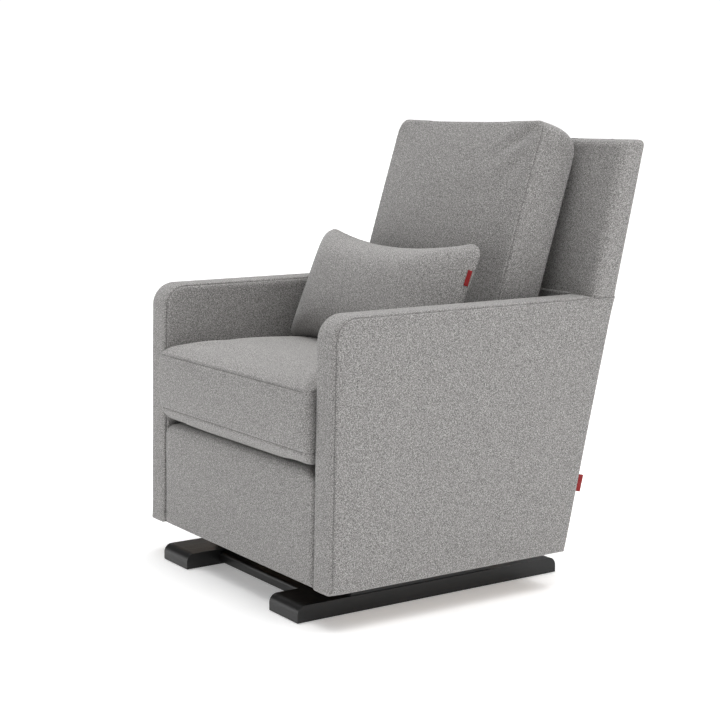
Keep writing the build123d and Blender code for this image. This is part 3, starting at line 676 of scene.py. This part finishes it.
def pad_loop(half, low, high, top_round, low_round, inset, steps):
    """A rounded rectangle in (x, z), drawn in by an inset: up the left side, across, down, back."""
    n_up, n_across, n_arc = steps
    top_x, top_z = max(top_round[0] - inset, 1.0), max(top_round[1] - inset, 1.0)
    corner = max(low_round - inset, 1.0)
    half, low, high = half - inset, low + inset, high - inset
    corners = (
        (-half + corner, low + corner, corner, corner),
        (-half + top_x, high - top_z, top_x, top_z),
        (half - top_x, high - top_z, top_x, top_z),
        (half - corner, low + corner, corner, corner),
    )

    def arc(number, eighth):
        """An eighth of a turn of a corner, clockwise."""
        x, z, radius_x, radius_z = corners[number % 4]
        turns = np.linspace(eighth, eighth - 1, n_arc + 1) * pi / 4
        return np.stack([x + radius_x * np.cos(turns), z + radius_z * np.sin(turns)], 1)

    loop = []
    sides = ((-3, 4, n_up), (3, 2, n_across), (1, 0, n_up), (-1, -2, n_across))
    for number, (first, second, count) in enumerate(sides):
        begin, end = arc(number, first), arc(number + 1, second)
        loop += [begin, run(begin[-1], end[0], count - 2 * n_arc)[1:], end[:-1]]
    return np.vstack(loop)


def panel_form(rings, outline, steps, plane):
    """Points and faces of a panel from rings of (inset, depth), its pad_loop's values and the plane it lies on."""
    points, faces = [], []
    for inset, depth in rings:
        loop = pad_loop(*outline, inset, steps)
        points += [np.array((x, plane(z, depth), z)) for x, z in loop]
    count = len(loop)
    faces = ring_faces(0, len(rings), count)
    fill_loop(np.array(points[-count:]), (len(rings) - 1) * count, steps[0], steps[1], points, faces)
    return np.array(points), faces


FRONT_ROUND = 9.0
FRONT_CROWN = 2.0
FRONT_TOP_EASE, FRONT_TOP_REACH = 5.0, 30.0


def build_front_panel():
    """The padded panel under the seat cushion, with eased upper corners."""
    half = SEAT_HALF + 1.2
    rings = [(0.0, depth) for depth in (34.0, 26.0, 18.0, 13.0)]
    turns = np.linspace(0, pi / 2, 10)
    rings += [(FRONT_ROUND * (1 - cos(turn)), FRONT_ROUND * (1 - sin(turn))) for turn in turns]
    rings += [(inset, 0.0) for inset in (12.0, 16.0, 21.0)]
    outline = (half, BOTTOM, DECK - 0.4, (46.0, 27.0), 4.0)
    points, faces = panel_form(rings, outline, (64, 130, 8), lambda z, depth: front_y(z) + depth)
    x, y, z = points.T
    y += FRONT_TOP_EASE * unit((z - (DECK - FRONT_TOP_REACH)) / FRONT_TOP_REACH) ** 3 * (np.abs(x) < half)
    edge_distance = np.minimum.reduce([half - np.abs(x), z - BOTTOM, DECK - z])
    face = y < front_y(z) + 8
    y -= face * FRONT_CROWN * swell(edge_distance - FRONT_ROUND, 40.0)
    y += face * soft_ripple(points, size=110.0, amount=0.8, seed=4)
    new_cover("front_panel", points, faces, "front_cover")


def build_outside_back():
    """The flat panel sewn into the rear, from the bottom edge to just under the top."""
    rings = [(0.0, 58.0), (0.0, 60.6)]
    rings += [(2.0 * (1 - cos(turn)), 60.6 + 1.6 * sin(turn)) for turn in np.linspace(0, pi / 2, 6)[1:]]
    rings += [(5.0, 62.3), (9.0, 62.4), (15.0, 62.5)]
    outline = (HALF_WIDTH - 9.0, BOTTOM, BACK_TOP + TOP_PUFF - 15.0, (6.0, 6.0), 4.0)
    points, faces = panel_form(rings, outline, (150, 120, 6), back_y)
    points[:, 1] += soft_ripple(points, size=140.0, amount=0.6, seed=5)
    new_cover("outside_back_panel", points, faces, "outside_back")


DECK_COLUMNS, DECK_ROWS = 80, 64
DECK_ROLL, DECK_ROLL_REACH = 5.0, 9.0
SPRING_DIP, SPRING_SPACING = 1.1, 110.0


def build_deck():
    """The felt deck under the seat cushion, with a rolled edge and a soft dip between springs."""
    x = np.linspace(deck_low[0], deck_high[0], DECK_COLUMNS)
    y = np.linspace(deck_low[1], deck_high[1], DECK_ROWS)
    u, v = [values.ravel() for values in np.meshgrid(x, y)]
    edge = np.minimum.reduce([u - x[0], x[-1] - u, v - y[0], y[-1] - v])
    roll = DECK_ROLL * np.maximum(0, 1 - edge / DECK_ROLL_REACH) ** 2
    dip = SPRING_DIP * np.sin(2 * pi * u / SPRING_SPACING) ** 2
    upper = np.column_stack([u, v, deck_high[2] - roll - dip])
    points = np.vstack([upper, np.column_stack([u, v, deck_low[2] + roll])])
    grid = np.arange(DECK_ROWS * DECK_COLUMNS).reshape(DECK_ROWS, DECK_COLUMNS)
    border = np.concatenate([grid[0], grid[1:, -1], grid[-1, -2::-1], grid[-2::-1, 0]])
    parts = (grid, grid + grid.size, np.stack([border, border + grid.size]))
    faces = [face for part in parts for face in grid_faces(part)]
    piece = new_piece("deck_felt_pad", points, faces, FINISHES["deck_felt"], "seat_body")
    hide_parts("deck_pad")


build_back()
build_front_panel()
build_outside_back()
build_deck()

# ---------------------------------------------------------------- loose cushions
SEAT_CROWN_Y = -300.0
SEAT_SEAM = 453.5
SEAT_RISE = 29.0
SEAT_SHOULDERS = ((0.56, 36.0), (0.44, 115.0))
SEAT_FALL = 0.75
SEAT_FLARE = 6.0
SEAT_PUFF = 6.5
SEAT_LOW_SEAM = 35.0
SEAT_LOW_INSET = 0.085
SEAT_CORNER_LIFT = 8.0
RING_CLOSING = 0.03
SEAT_PLAN_HALF = seat_high[0] - 0.5
SEAT_PLAN_FRONT = seat_low[1] - 2.0
SEAT_PLAN_ROUND = 15.0
SEAT_FLAT = rest_low[2] - 0.3
REST_RECLINE = radians(17.4)
REST_BOXING = 103.0
REST_CROWN = 27.0
REST_PUFF = 2.5
REST_SAG, REST_WAIST = 8.0, 3.0
REST_REAR_CROWN = 14.0
# Folds by a start (across, below the top), a heading, a length, a width and a depth.
REST_CREASES = (
    ((236.0, 22.0), (-0.80, -0.45), 120.0, 15.0, 5.0),
    ((-236.0, 24.0), (0.70, -0.60), 90.0, 13.0, 3.0),
    ((225.0, 70.0), (-0.45, -0.85), 110.0, 18.0, 2.2),
)
REST_FOOT = (back_y(SEAT_FLAT) - 158.5, SEAT_FLAT)
PILLOW_LEAN = radians(22.4)
PILLOW_CENTRE = np.array([0.0, REST_FOOT[0] - 81.0, SEAT_FLAT + 115.5])
PILLOW_HALF_WIDTH = SEAT_HALF - 15.5
PILLOW_HALF_HEIGHT = 126.0
PILLOW_HALF_DEPTH = 75.0
HOLLOW_TOP, HOLLOW_LOW, HOLLOW_SIDE = 27.0, 14.0, 14.0
NESTING_REACH = 60.0


def rounded_rectangle(half, front, rear, front_round, rear_round, steps=(120, 110, 12)):
    """A plan outline in (x, y), from the middle of the front round by the right."""
    n_x, n_y, n_arc = steps
    corners = (
        (half - front_round, front + front_round, front_round, -pi / 2),
        (half - rear_round, rear - rear_round, rear_round, 0.0),
        (-half + rear_round, rear - rear_round, rear_round, pi / 2),
        (-half + front_round, front + front_round, front_round, pi),
    )
    arcs = []
    for x, y, r, turn in corners:
        turns = np.linspace(turn, turn + pi / 2, n_arc)
        arcs.append(np.stack([x + r * np.cos(turns), y + r * np.sin(turns)], 1))
    points = []
    for arc, after, count in zip(arcs, arcs[1:] + arcs[:1], (n_y, n_x, n_y, n_x)):
        points += [arc, run(arc[-1], after[0], count - 1)[1:]]
    return np.vstack(points)


def closed_form(name, rings):
    """A closed mesh from rings of points, with a fan at the first and last ring's middle."""
    count = len(rings[0])
    points = np.vstack([*rings, rings[0].mean(axis=0), rings[-1].mean(axis=0)])
    faces = ring_faces(0, len(rings), count)
    last = (len(rings) - 1) * count
    for start, middle in ((0, last + count), (last, last + count + 1)):
        faces += [(start + i, start + (i + 1) % count, middle) for i in range(count)]
    return linked_mesh(name, points, faces, merge=False)


def coordinates(mesh):
    out = np.empty(len(mesh.vertices) * 3)
    mesh.vertices.foreach_get("co", out)
    return out.reshape(-1, 3)


def vertex_normals(mesh):
    return np.array([v.normal for v in mesh.vertices])


def store(mesh, points):
    mesh.vertices.foreach_set("co", np.asarray(points, dtype=float).ravel())
    mesh.update()


def scene_graph():
    return bpy.context.evaluated_depsgraph_get()


def nearest(piece, points):
    """The surface's nearest place (mm) and its normal, for each point (mm)."""
    tree = BVHTree.FromObject(piece, scene_graph())
    found = [tree.find_nearest(Vector(p) * MM)[:2] for p in points]
    return np.array([place for place, _ in found]) / MM, np.array([normal for _, normal in found])


def applied(piece):
    """Replaces a piece's mesh by what its modifiers make of it."""
    mesh = bpy.data.meshes.new_from_object(piece.evaluated_get(scene_graph()))
    old = piece.data
    piece.modifiers.clear()
    piece.data = mesh
    bpy.data.meshes.remove(old)


def modify(piece, *steps):
    """Applies modifiers to a piece, each given as its kind and its settings."""
    for kind, settings in steps:
        modifier = piece.modifiers.new(kind.lower(), kind)
        for name, value in settings.items():
            setattr(modifier, name, value)
    applied(piece)


def distance_to_lines(points, lines):
    """Distance in mm from each point (mm) to the nearest of the lines' points."""
    places = [Vector(p) for line in lines for p in line]
    tree = KDTree(len(places))
    for number, place in enumerate(places):
        tree.insert(place, number)
    tree.balance()
    return np.array([tree.find(Vector(p))[2] for p in points])


CLOTH = {
    "quality": 6, "mass": 0.3, "tension_stiffness": 12.0, "compression_stiffness": 12.0, "shear_stiffness": 6.0,
    "bending_stiffness": 0.6, "use_pressure": True, "vertex_group_mass": "seam",
}
CLOTH_FRAMES = 20
SMOOTH_AND_SPLIT = (("SMOOTH", {"iterations": 3}), ("SUBSURF", {"levels": 1, "render_levels": 1}))
STITCH_GAP = 3.0
PIN_FADE = 4.0


def inflate(piece, seams, voxel, pressure, cap, pin=5.0):
    """Cloth under pressure, held along its seams, with how far a point may move capped."""
    modify(piece, ("REMESH", {"mode": "VOXEL", "voxel_size": voxel * MM, "use_smooth_shade": True}))
    start = coordinates(piece.data)
    group = piece.vertex_groups.new(name="seam")
    for i, gap in enumerate(distance_to_lines(start / MM, seams)):
        weight = 1.0 if gap < pin else max(0.0, 1 - (gap - pin) / PIN_FADE)
        if weight:
            group.add([i], weight, "REPLACE")
    cloth = piece.modifiers.new("cloth", "CLOTH")
    for name, value in CLOTH.items():
        setattr(cloth.settings, name, value)
    cloth.settings.uniform_pressure_force = pressure
    cloth.settings.effector_weights.gravity = 0.0
    cloth.point_cache.frame_start = 1
    cloth.point_cache.frame_end = CLOTH_FRAMES
    for number in range(1, CLOTH_FRAMES + 1):
        bpy.context.scene.frame_set(number)
    applied(piece)
    bpy.context.scene.frame_set(1)
    move = coordinates(piece.data) - start
    length = np.linalg.norm(move, axis=1, keepdims=True) / MM
    limited = cap * np.tanh(length / cap)
    store(piece.data, start + move * np.where(length > 1e-6, limited / np.maximum(length, 1e-6), 1.0))


def cushion(name, rings, seams, **inflation):
    """A closed form that's blown up between its seams, and the seams as dense lines."""
    piece = closed_form(name, rings)
    seams = [dense(seam, STITCH_GAP) for seam in seams]
    inflate(piece, seams, **inflation)
    modify(piece, *SMOOTH_AND_SPLIT)
    return piece, seams


def refine_near(piece, lines, reach):
    """Smaller faces beside the seams, so that the groove is crisp."""
    near = distance_to_lines(coordinates(piece.data) / MM, lines) < reach
    with edited(piece.data) as work:
        edges = [e for e in work.edges if near[e.verts[0].index] and near[e.verts[1].index]]
        bmesh.ops.subdivide_edges(work, edges=edges, cuts=1, use_grid_fill=True)


def dense(line, step=1.0, closed=True):
    """The same line with points no further apart than a step."""
    line = [np.asarray(p, dtype=float) for p in line]
    out = []
    for a, b in zip(line, line[1:] + (line[:1] if closed else [])):
        count = max(1, int(np.ceil(np.linalg.norm(b - a) / step)))
        out += [a + (b - a) * k / count for k in range(count)]
    return out


def smooth_line(line, width=9, rounds=2):
    """A closed line with its small kinks averaged away."""
    line = np.array(line)
    for _ in range(rounds):
        line = sum(np.roll(line, k, 0) for k in range(-width, width + 1)) / (2 * width + 1)
    return list(line)


def sew(piece, lines):
    """Presses a seam groove into the surface along each line, with cloth puffed beside it."""
    lines = [smooth_line(dense(nearest(piece, line)[0])) for line in lines]
    refine_near(piece, lines, 12.0)
    points = coordinates(piece.data) / MM
    gap = distance_to_lines(points, lines)
    dip = groove(gap, depth=1.35, width=1.7, beside=5.5, puff=2.6)
    store(piece.data, (points + vertex_normals(piece.data) * dip[:, None]) * MM)
    return lines


THREAD_SIDES = 6
THREAD_STEP = 3


def thread(name, lines, body, radius=0.6, sink=0.75, host=None, material=SEAM_PAINTED_SHADE, closed=True):
    """A fine sewn line lying in a groove, sunk into its host's surface where one is given; in its default darker
    material it is painted shade of the groove.
    """
    points, faces = [], []
    for line in lines:
        line = np.array(line)[::THREAD_STEP]
        if host:
            places, normals = nearest(host, line)
            line = np.array(smooth_line(places + normals * (radius - sink), 3, 1))
        ahead = np.roll(line, -1, 0) - np.roll(line, 1, 0) if closed else np.gradient(line, axis=0)
        ahead /= np.maximum(np.linalg.norm(ahead, axis=1, keepdims=True), 1e-9)
        helper = np.where(np.abs(ahead[:, 2:3]) > 0.9, [[1.0, 0, 0]], [[0, 0, 1.0]])
        first = np.cross(ahead, helper)
        first /= np.linalg.norm(first, axis=1, keepdims=True)
        second = np.cross(ahead, first)
        faces += ring_faces(len(points), len(line), THREAD_SIDES, looped=closed)
        for p, a, b in zip(line, first, second):
            for turn in np.linspace(0, 2 * pi, THREAD_SIDES, endpoint=False):
                points.append(p + radius * (cos(turn) * a + sin(turn) * b))
    new_piece(name, points, faces, material, body)


def quarter_arc(gap, reach):
    """Rises from 0 to 1 over a reach, upright at its start like a stuffed edge."""
    return np.sqrt(1 - (1 - unit(gap / reach)) ** 2)


def seat_top(x, y):
    """Height of the seat's crowned top, which drops towards the back cushion."""
    gap_x, gap_y = SEAT_PLAN_HALF - np.abs(x), y - SEAT_PLAN_FRONT
    corner = SEAT_PLAN_ROUND - np.hypot(SEAT_PLAN_ROUND - gap_x, SEAT_PLAN_ROUND - gap_y)
    in_corner = (gap_x < SEAT_PLAN_ROUND) & (gap_y < SEAT_PLAN_ROUND)
    gap = np.maximum(np.where(in_corner, corner, np.minimum(gap_x, gap_y)), 0.0)
    behind = unit((y - SEAT_CROWN_Y) / (REST_FOOT[0] - SEAT_CROWN_Y))
    rise = SEAT_RISE * sum(share * quarter_arc(gap, reach) for share, reach in SEAT_SHOULDERS)
    level = SEAT_SEAM + rise * (1 - SEAT_FALL * behind**1.8)
    return np.where(y > REST_FOOT[0] - REST_CROWN - 6.0, np.minimum(level, SEAT_FLAT), level)


def under_side(ring, level, part):
    """The underside lifts a little towards the two front corners."""
    corner = np.abs(ring[:, 0] / seat_high[0]) ** 6 * unit(-ring[:, 1] / abs(seat_low[1])) ** 6
    return level + SEAT_CORNER_LIFT * part * corner


def build_seat():
    half, front, rear = seat_high[0], seat_low[1], seat_high[1]
    plan = rounded_rectangle(SEAT_PLAN_HALF, SEAT_PLAN_FRONT, rear, SEAT_PLAN_ROUND, 18.0)
    ahead = unit((front_y(SEAT_SEAM) + 8.0 - plan[:, 1]) / 14.0)
    plan[:, 0] += np.sign(plan[:, 0]) * SEAT_FLARE * ahead * unit((np.abs(plan[:, 0]) - 220.0) / 70.0)
    middle = np.array([0.0, (front + rear) / 2])
    low_seam_z = DECK + SEAT_LOW_SEAM
    under = low_seam_z - DECK - 1.0
    rings = []

    def add_ring(ring, height):
        rings.append(np.column_stack([ring, height]))

    for scale in np.linspace(RING_CLOSING, 1.0, 46):
        ring = middle + (plan - middle) * scale
        add_ring(ring, seat_top(*ring.T))
    top_seam = rings[-1]
    normal = np.clip((plan - middle) / (half, (rear - front) / 2), -1, 1) ** 7
    normal /= np.maximum(np.linalg.norm(normal, axis=1, keepdims=True), 0.3)
    for part in np.linspace(0, 1, 24)[1:]:
        puff = normal * SEAT_PUFF * sin(pi * part) ** 0.8
        add_ring(plan + puff, top_seam[:, 2] * (1 - part) + low_seam_z * part)
    low_seam = rings[-1]
    for part in np.linspace(0, 1, 11)[1:]:
        ring = middle + (plan - middle) * (1 - SEAT_LOW_INSET * (1 - cos(part * pi / 2)))
        add_ring(ring, under_side(ring, low_seam_z - under * sin(part * pi / 2), part))
    for scale in np.linspace(1 - SEAT_LOW_INSET, RING_CLOSING, 30)[1:]:
        ring = middle + (plan - middle) * scale
        add_ring(ring, under_side(ring, low_seam_z - under, 1.0))
    piece, seams = cushion("seat_cushion_cover", rings, (top_seam, low_seam), voxel=6.0, pressure=2.0, cap=6.0)
    points = coordinates(piece.data) / MM
    x, y, z = points.T
    limit = np.where(y > REST_FOOT[0] - REST_CROWN - 4.0, SEAT_FLAT, seat_high[2] + 2.0)
    z[:] = np.clip(z, DECK + 0.4, limit)
    y[:] = np.minimum(y, back_y(z) - 0.8)
    room = SEAT_HALF - 0.6 + SEAT_FLARE * unit((front_y(z) + 14.0 - y) / 12.0)
    x[:] = np.clip(x, -room, room)
    store(piece.data, points * MM)
    finish_boxed(piece, "seat_cushion", seams)
    return piece


def crease(points, normals, place, start, heading, length, width, depth):
    """A soft fold that fades along its length, in the cushion's own face coordinates."""
    heading = np.array(heading) / np.linalg.norm(heading)
    offset = place - np.array(start)
    along = offset @ heading
    across = offset @ np.array([-heading[1], heading[0]])
    dip = 0.45 * bell(np.abs(across) - 1.7 * width, width) - bell(across, width)
    return points + normals * (depth * bell(along - 0.4 * length, 0.42 * length) * dip)[:, None]


def dress(piece, body, node):
    """Gives a cushion its cloth and its body, and hides the CAD node that it stands for."""
    piece.data.materials.clear()
    piece.data.materials.append(FABRIC)
    shade_smooth(piece)
    finish_piece(piece, body)
    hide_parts(node)


def finish_boxed(piece, name, seams):
    """Sews a boxed cushion's two seams, and dresses it."""
    lines = sew(piece, seams)
    dress(piece, name, name)
    # The darker seam threads here are painted shade of the grooves.
    thread(name + "_seams", lines, name, host=piece)


def leaning_point(foot, lean, x, up, deep):
    """A point across, up a plane that leans back from its foot (y, z), and deep behind it."""
    y = foot[0] + up * sin(lean) + deep * cos(lean)
    z = foot[1] + up * cos(lean) - deep * sin(lean)
    return np.stack([x, y, z], -1)


def rest_point(x, up, deep):
    """A point of the back cushion: across, up its front seam plane, and deep behind that plane."""
    return leaning_point((REST_FOOT[0], REST_FOOT[1] + 0.3), REST_RECLINE, x, up, deep)


def build_rest():
    """The back cushion: a boxed form with perked upper corners and a top that sags a little."""
    half = rest_high[0]
    rise = (rest_high[2] - SEAT_FLAT) / cos(REST_RECLINE) + 7.0
    middle = np.array([0.0, rise / 2])

    def outline(top, corner):
        plan = rounded_rectangle(half - 2.0, -2.0, top, 14.0, corner, (110, 110, 12))
        u = np.clip(plan[:, 0] / half, -1, 1)
        v = unit(plan[:, 1] / rise)
        sag = -REST_SAG * (1 - np.abs(u) ** 3) * unit(2 * v - 1)
        waist = -REST_WAIST * (1 - (2 * v - 1) ** 2) * np.sign(u) * (np.abs(u) > 0.9)
        return plan + np.column_stack([waist, sag])

    plan = outline(rise, 30.0)
    behind = outline(rise - 20.0, 50.0)
    rings = []

    def add_panel(outer, scale, crown, base):
        """A ring of a crowned face, at a scale of its outer line."""
        ring = middle + (outer - middle) * scale
        full = unit(1 - np.abs(ring[:, 0] / half) ** 2.2) * unit(1 - np.abs(2 * ring[:, 1] / rise - 1) ** 2.6)
        rings.append(rest_point(*ring.T, base - crown * full**0.75))

    for scale in np.linspace(RING_CLOSING, 1.0, 40):
        add_panel(plan, scale, REST_CROWN - 4, 0.0)
    front_seam = rings[-1]
    outward = plan - middle
    outward = outward / np.maximum(np.linalg.norm(outward, axis=1, keepdims=True), 1.0)
    for part in np.linspace(0, 1, 24)[1:]:
        near = (1 - part**4) ** 0.5
        ring = plan * near + behind * (1 - near) + outward * REST_PUFF * sin(pi * part)
        rings.append(rest_point(*ring.T, np.full(len(ring), REST_BOXING * part)))
    rear_seam = rings[-1]
    for scale in np.linspace(1.0, RING_CLOSING, 32)[1:]:
        add_panel(behind, scale, -(REST_REAR_CROWN - 4), REST_BOXING)
    piece, seams = cushion("back_cushion_cover", rings, (front_seam, rear_seam), voxel=6.0, pressure=3.0, cap=9.0)
    points = coordinates(piece.data) / MM
    x, y, z = points.T
    z[:] = np.maximum(z, SEAT_FLAT + 0.5)
    y[:] = np.minimum(y, back_y(z) - 1.2)
    store(piece.data, points * MM)
    normals = vertex_normals(piece.data)
    face = np.clip(-normals[:, 1] - 0.25, 0, 0.4)[:, None] / 0.4
    place = np.column_stack([x, (z - REST_FOOT[1]) / cos(REST_RECLINE)])
    for (across, below_top), *values in REST_CREASES:
        points = crease(points, normals * face, place, (across, rise - below_top), *values)
    store(piece.data, points * MM)
    finish_boxed(piece, "back_cushion", seams)
    return piece


def pillow_point(x, up, out):
    """A point of the pillow: across, up its middle plane, and out of its front."""
    return leaning_point(PILLOW_CENTRE[1:], PILLOW_LEAN, x, up, -out)


def pillow_plan():
    """The pillow's edge seam: drawn-out soft corners with hollow sides between them."""
    half, low, high = PILLOW_HALF_WIDTH + 10.0, -PILLOW_HALF_HEIGHT, PILLOW_HALF_HEIGHT + 11.0
    plan = rounded_rectangle(half, low, high, 30.0, 42.0, (130, 60, 16))
    u = plan[:, 0] / half
    v = plan[:, 1] / PILLOW_HALF_HEIGHT
    hollow_top = HOLLOW_TOP * (1 - unit(np.abs(u) / 0.84) ** 2.2) * unit(v) ** 3
    hollow_low = HOLLOW_LOW * (1 - np.abs(u) ** 2.4) * unit(-v) ** 3
    hollow_side = HOLLOW_SIDE * unit(1 - np.abs(v) ** 2.0) * np.sign(u) * np.abs(u) ** 6
    spread = np.sign(u) * np.abs(u) ** 4 * np.where(v < 0, 5.0 * unit(-v), -3.0 * unit(v) ** 2)
    return plan + np.column_stack([spread - hollow_side, hollow_low - hollow_top])


def build_pillow(seat, rest):
    """The pillow: two domes that close to a knife edge along one seam, the front one fuller."""
    plan = pillow_plan()
    rings = []

    def add_face(scales, side, fullness):
        for scale in scales:
            ring = plan * scale
            s = unit(1 - np.abs(ring[:, 0] / PILLOW_HALF_WIDTH) ** 2.8)
            t = unit(1 - np.abs(ring[:, 1] / PILLOW_HALF_HEIGHT) ** 2.6)
            dome = (s * t) ** (0.9 * fullness) * (1 - scale**8) ** 0.6
            depth = 2.5 + (PILLOW_HALF_DEPTH - 8.0) * (0.7 * dome + 0.3 * (1 - scale**2.6) ** fullness)
            rings.append(pillow_point(*ring.T, side * depth))

    scales = np.linspace(RING_CLOSING, 1.0, 40)
    add_face(scales, 1, 0.60)
    edge = pillow_point(*plan.T, np.zeros(len(plan)))
    rings.append(edge + (edge - PILLOW_CENTRE) * 0.004)
    add_face(scales[::-1], -1, 1.05)
    piece = cushion("lumbar_pillow_cover", rings, (edge,), voxel=5.0, pressure=2.5, cap=9.0, pin=4.0)[0]
    keep_off(piece, (seat, rest), 0.8)
    dress(piece, "pillow", "lumbar_pillow")
    thread("pillow_edge_seam", [dense(edge)], "pillow", radius=1.1, host=piece, sink=0.8, material=FABRIC)
    return piece


def keep_off(piece, others, gap):
    """Pushes the piece's points out of its neighbours, as it nests against them."""
    points = coordinates(piece.data) / MM
    for other in others:
        places, normals = nearest(other, points)
        offset = points - places
        inside = (np.sum(offset * normals, axis=1) < gap) & (np.linalg.norm(offset, axis=1) < NESTING_REACH)
        points[inside] = places[inside] + normals[inside] * gap
    store(piece.data, points * MM)


# The darker arm seam threads are painted shade of the seam grooves.
thread("arm_seams", [dense(list(line), closed=False) for line in arm_seams], "seat_body", closed=False)
seat_cushion = build_seat()
back_cushion = build_rest()
pillow = build_pillow(seat_cushion, back_cushion)

# ---------------------------------------------------------------- tabs
RIBBON_THICKNESS = 0.35
RIBBON_ROWS = 12
RIBBON_LENGTHENED, RIBBON_THICKENED = 1.08, 1.3
RIBBON_WAVE, RIBBON_WAVE_TURN = 0.25, 0.9
RIBBON_LIFT = 1.1
# One cross section: reach out of the seam, and thickness, both as shares of the CAD tab's.
RIBBON_PROFILE = (
    (-0.5, 0.42), (-0.1, 0.5), (0.3, 0.5), (0.44, 0.38), (0.5, 0.0),
    (0.44, -0.38), (0.3, -0.5), (-0.1, -0.5), (-0.5, -0.42),
)


def build_tab(name, node, body, fold, stretch, host=None, place=None):
    """A plain ribbon folded in two, laid against a host's surface where one is given."""
    corners = coordinates(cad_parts[node].data) / MM
    centre = corners.mean(axis=0)
    _, _, axes = np.linalg.svd(corners - centre)
    size = [np.ptp((corners - centre) @ axis) for axis in axes]
    long_way, reach_way, thin_way = axes
    if reach_way @ fold < 0:
        reach_way = -reach_way
    centre = centre + reach_way * size[1] * (stretch - 1) / 2
    if host:
        places, normals = nearest(host, [place])
        thin_way = normals[0]
        long_way = long_way - thin_way * (long_way @ thin_way)
        long_way /= np.linalg.norm(long_way)
        reach_way = np.cross(long_way, thin_way)
        centre = places[0] + thin_way * RIBBON_LIFT
    points = []
    for k in range(RIBBON_ROWS + 1):
        along = (k / RIBBON_ROWS - 0.5) * size[0] * RIBBON_LENGTHENED
        for reach, thin in RIBBON_PROFILE:
            wave = RIBBON_WAVE * sin(k * RIBBON_WAVE_TURN) * (reach + 0.5)
            out = reach_way * reach * size[1] * stretch + thin_way * (thin * size[2] * RIBBON_THICKENED + wave)
            points.append(centre + long_way * along + out)
    faces = ring_faces(0, RIBBON_ROWS + 1, len(RIBBON_PROFILE), closed=False)
    piece = new_piece(name, points, faces, FINISHES["red_tab"], body, RIBBON_THICKNESS)
    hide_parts(node)


build_tab("side_ribbon", "side_tab", "seat_body", np.array([0.0, 1.0, 0.0]), 1.7)
build_tab("pillow_ribbon", "pillow_tab", "pillow", np.array([1.0, 0.0, 0.0]), 1.0, pillow,
          pillow_point(PILLOW_HALF_WIDTH - 5.0, 64.0, 6.0))

# ---------------------------------------------------------------- studio
CAMERA_PLACE = (2.8595, -1.9790, 0.9767)
CAMERA_TURN = radians(56.154)
CAMERA_PITCH = radians(8.694)
CAMERA_LENS = 81.68
# Light level by a direction's height above the horizon, and by its closeness to an axis overhead.
HORIZON = ((0.0, 0.44), (0.10, 0.44), (0.19, 0.05), (1.0, 0.05))
OVERHEAD = ((0.0, 0.0), (0.74, 0.0), (0.88, 1.0), (1.0, 1.0))
OVERHEAD_AXIS = (-0.04, 0.16, 0.986)
SKY_STRENGTH = 2.4
# Name, place, aim, size (m) and power (W) of each softbox.
LIGHTS = (
    ("key", (-2.3, -3.1, 1.0), (0.0, 0.0, 0.35), (2.4, 1.3), 17.5),
    ("side", (3.4, 1.1, 2.3), (0.0, 0.0, 0.5), (2.4, 1.8), 31.5),
    ("top", (0.0, 0.4, 5.5), (0.0, -0.1, 0.3), (4.4, 4.4), 107.0),
)
FLOOR_REACH = 60.0
FLOOR_STEPS = 40
FLOOR_DROP = 0.05

camera = linked("camera", bpy.data.cameras.new("camera"))
camera.data.lens = CAMERA_LENS
camera.data.sensor_width = 36.0
camera.data.dof.use_dof = False
camera.location = CAMERA_PLACE
camera.rotation_euler = (pi / 2 - CAMERA_PITCH, 0.0, CAMERA_TURN)
bpy.context.scene.camera = camera


def studio_floor():
    """A large, flat, pale floor just under the chair."""
    n = Material("studio_floor")
    grain = n.noise(9.0, 2.0, 0.5)
    n.finish(n.ramp(grain, (0.3, 0.93), (0.7, 0.95)), n.ramp(grain, (0.3, 0.75), (0.7, 0.8)),
             Specular_IOR_Level=0.1, Emission_Color=(1.0, 1.0, 1.0), Emission_Strength=0.27)
    grid = np.linspace(-FLOOR_REACH, FLOOR_REACH, FLOOR_STEPS + 1) / MM
    points = [(x, y, -FLOOR_DROP) for y in grid for x in grid]
    faces = ring_faces(0, FLOOR_STEPS + 1, FLOOR_STEPS + 1, closed=False)
    floor = linked_mesh("floor", points, faces, merge=False)
    floor.data.materials.append(n.material)


def softbox(name, place, aim, size, power):
    """A rectangular light that looks at its aim."""
    data = bpy.data.lights.new(name, "AREA")
    data.shape = "RECTANGLE"
    data.size, data.size_y = size
    data.energy = power
    light = linked(name, data)
    light.location = place
    light.rotation_euler = (Vector(aim) - Vector(place)).to_track_quat("-Z", "Y").to_euler()


studio_floor()
for light_values in LIGHTS:
    softbox(*light_values)

world = bpy.data.worlds.new("studio")
world.use_nodes = True
sky = Tree(world.node_tree)
direction = sky.add("TexCoord").outputs["Generated"]
by_height = sky.ramp(sky.add("SeparateXYZ", Vector=direction).outputs["Z"], *HORIZON)
by_closeness = sky.ramp(sky.math("DOT_PRODUCT", direction, OVERHEAD_AXIS, "VectorMath"), *OVERHEAD)
background = world.node_tree.nodes["Background"].inputs
sky.link(sky.math("ADD", by_height, by_closeness), background["Color"])
background["Strength"].default_value = SKY_STRENGTH
bpy.context.scene.world = world
bpy.context.scene.view_settings.view_transform = "Standard"
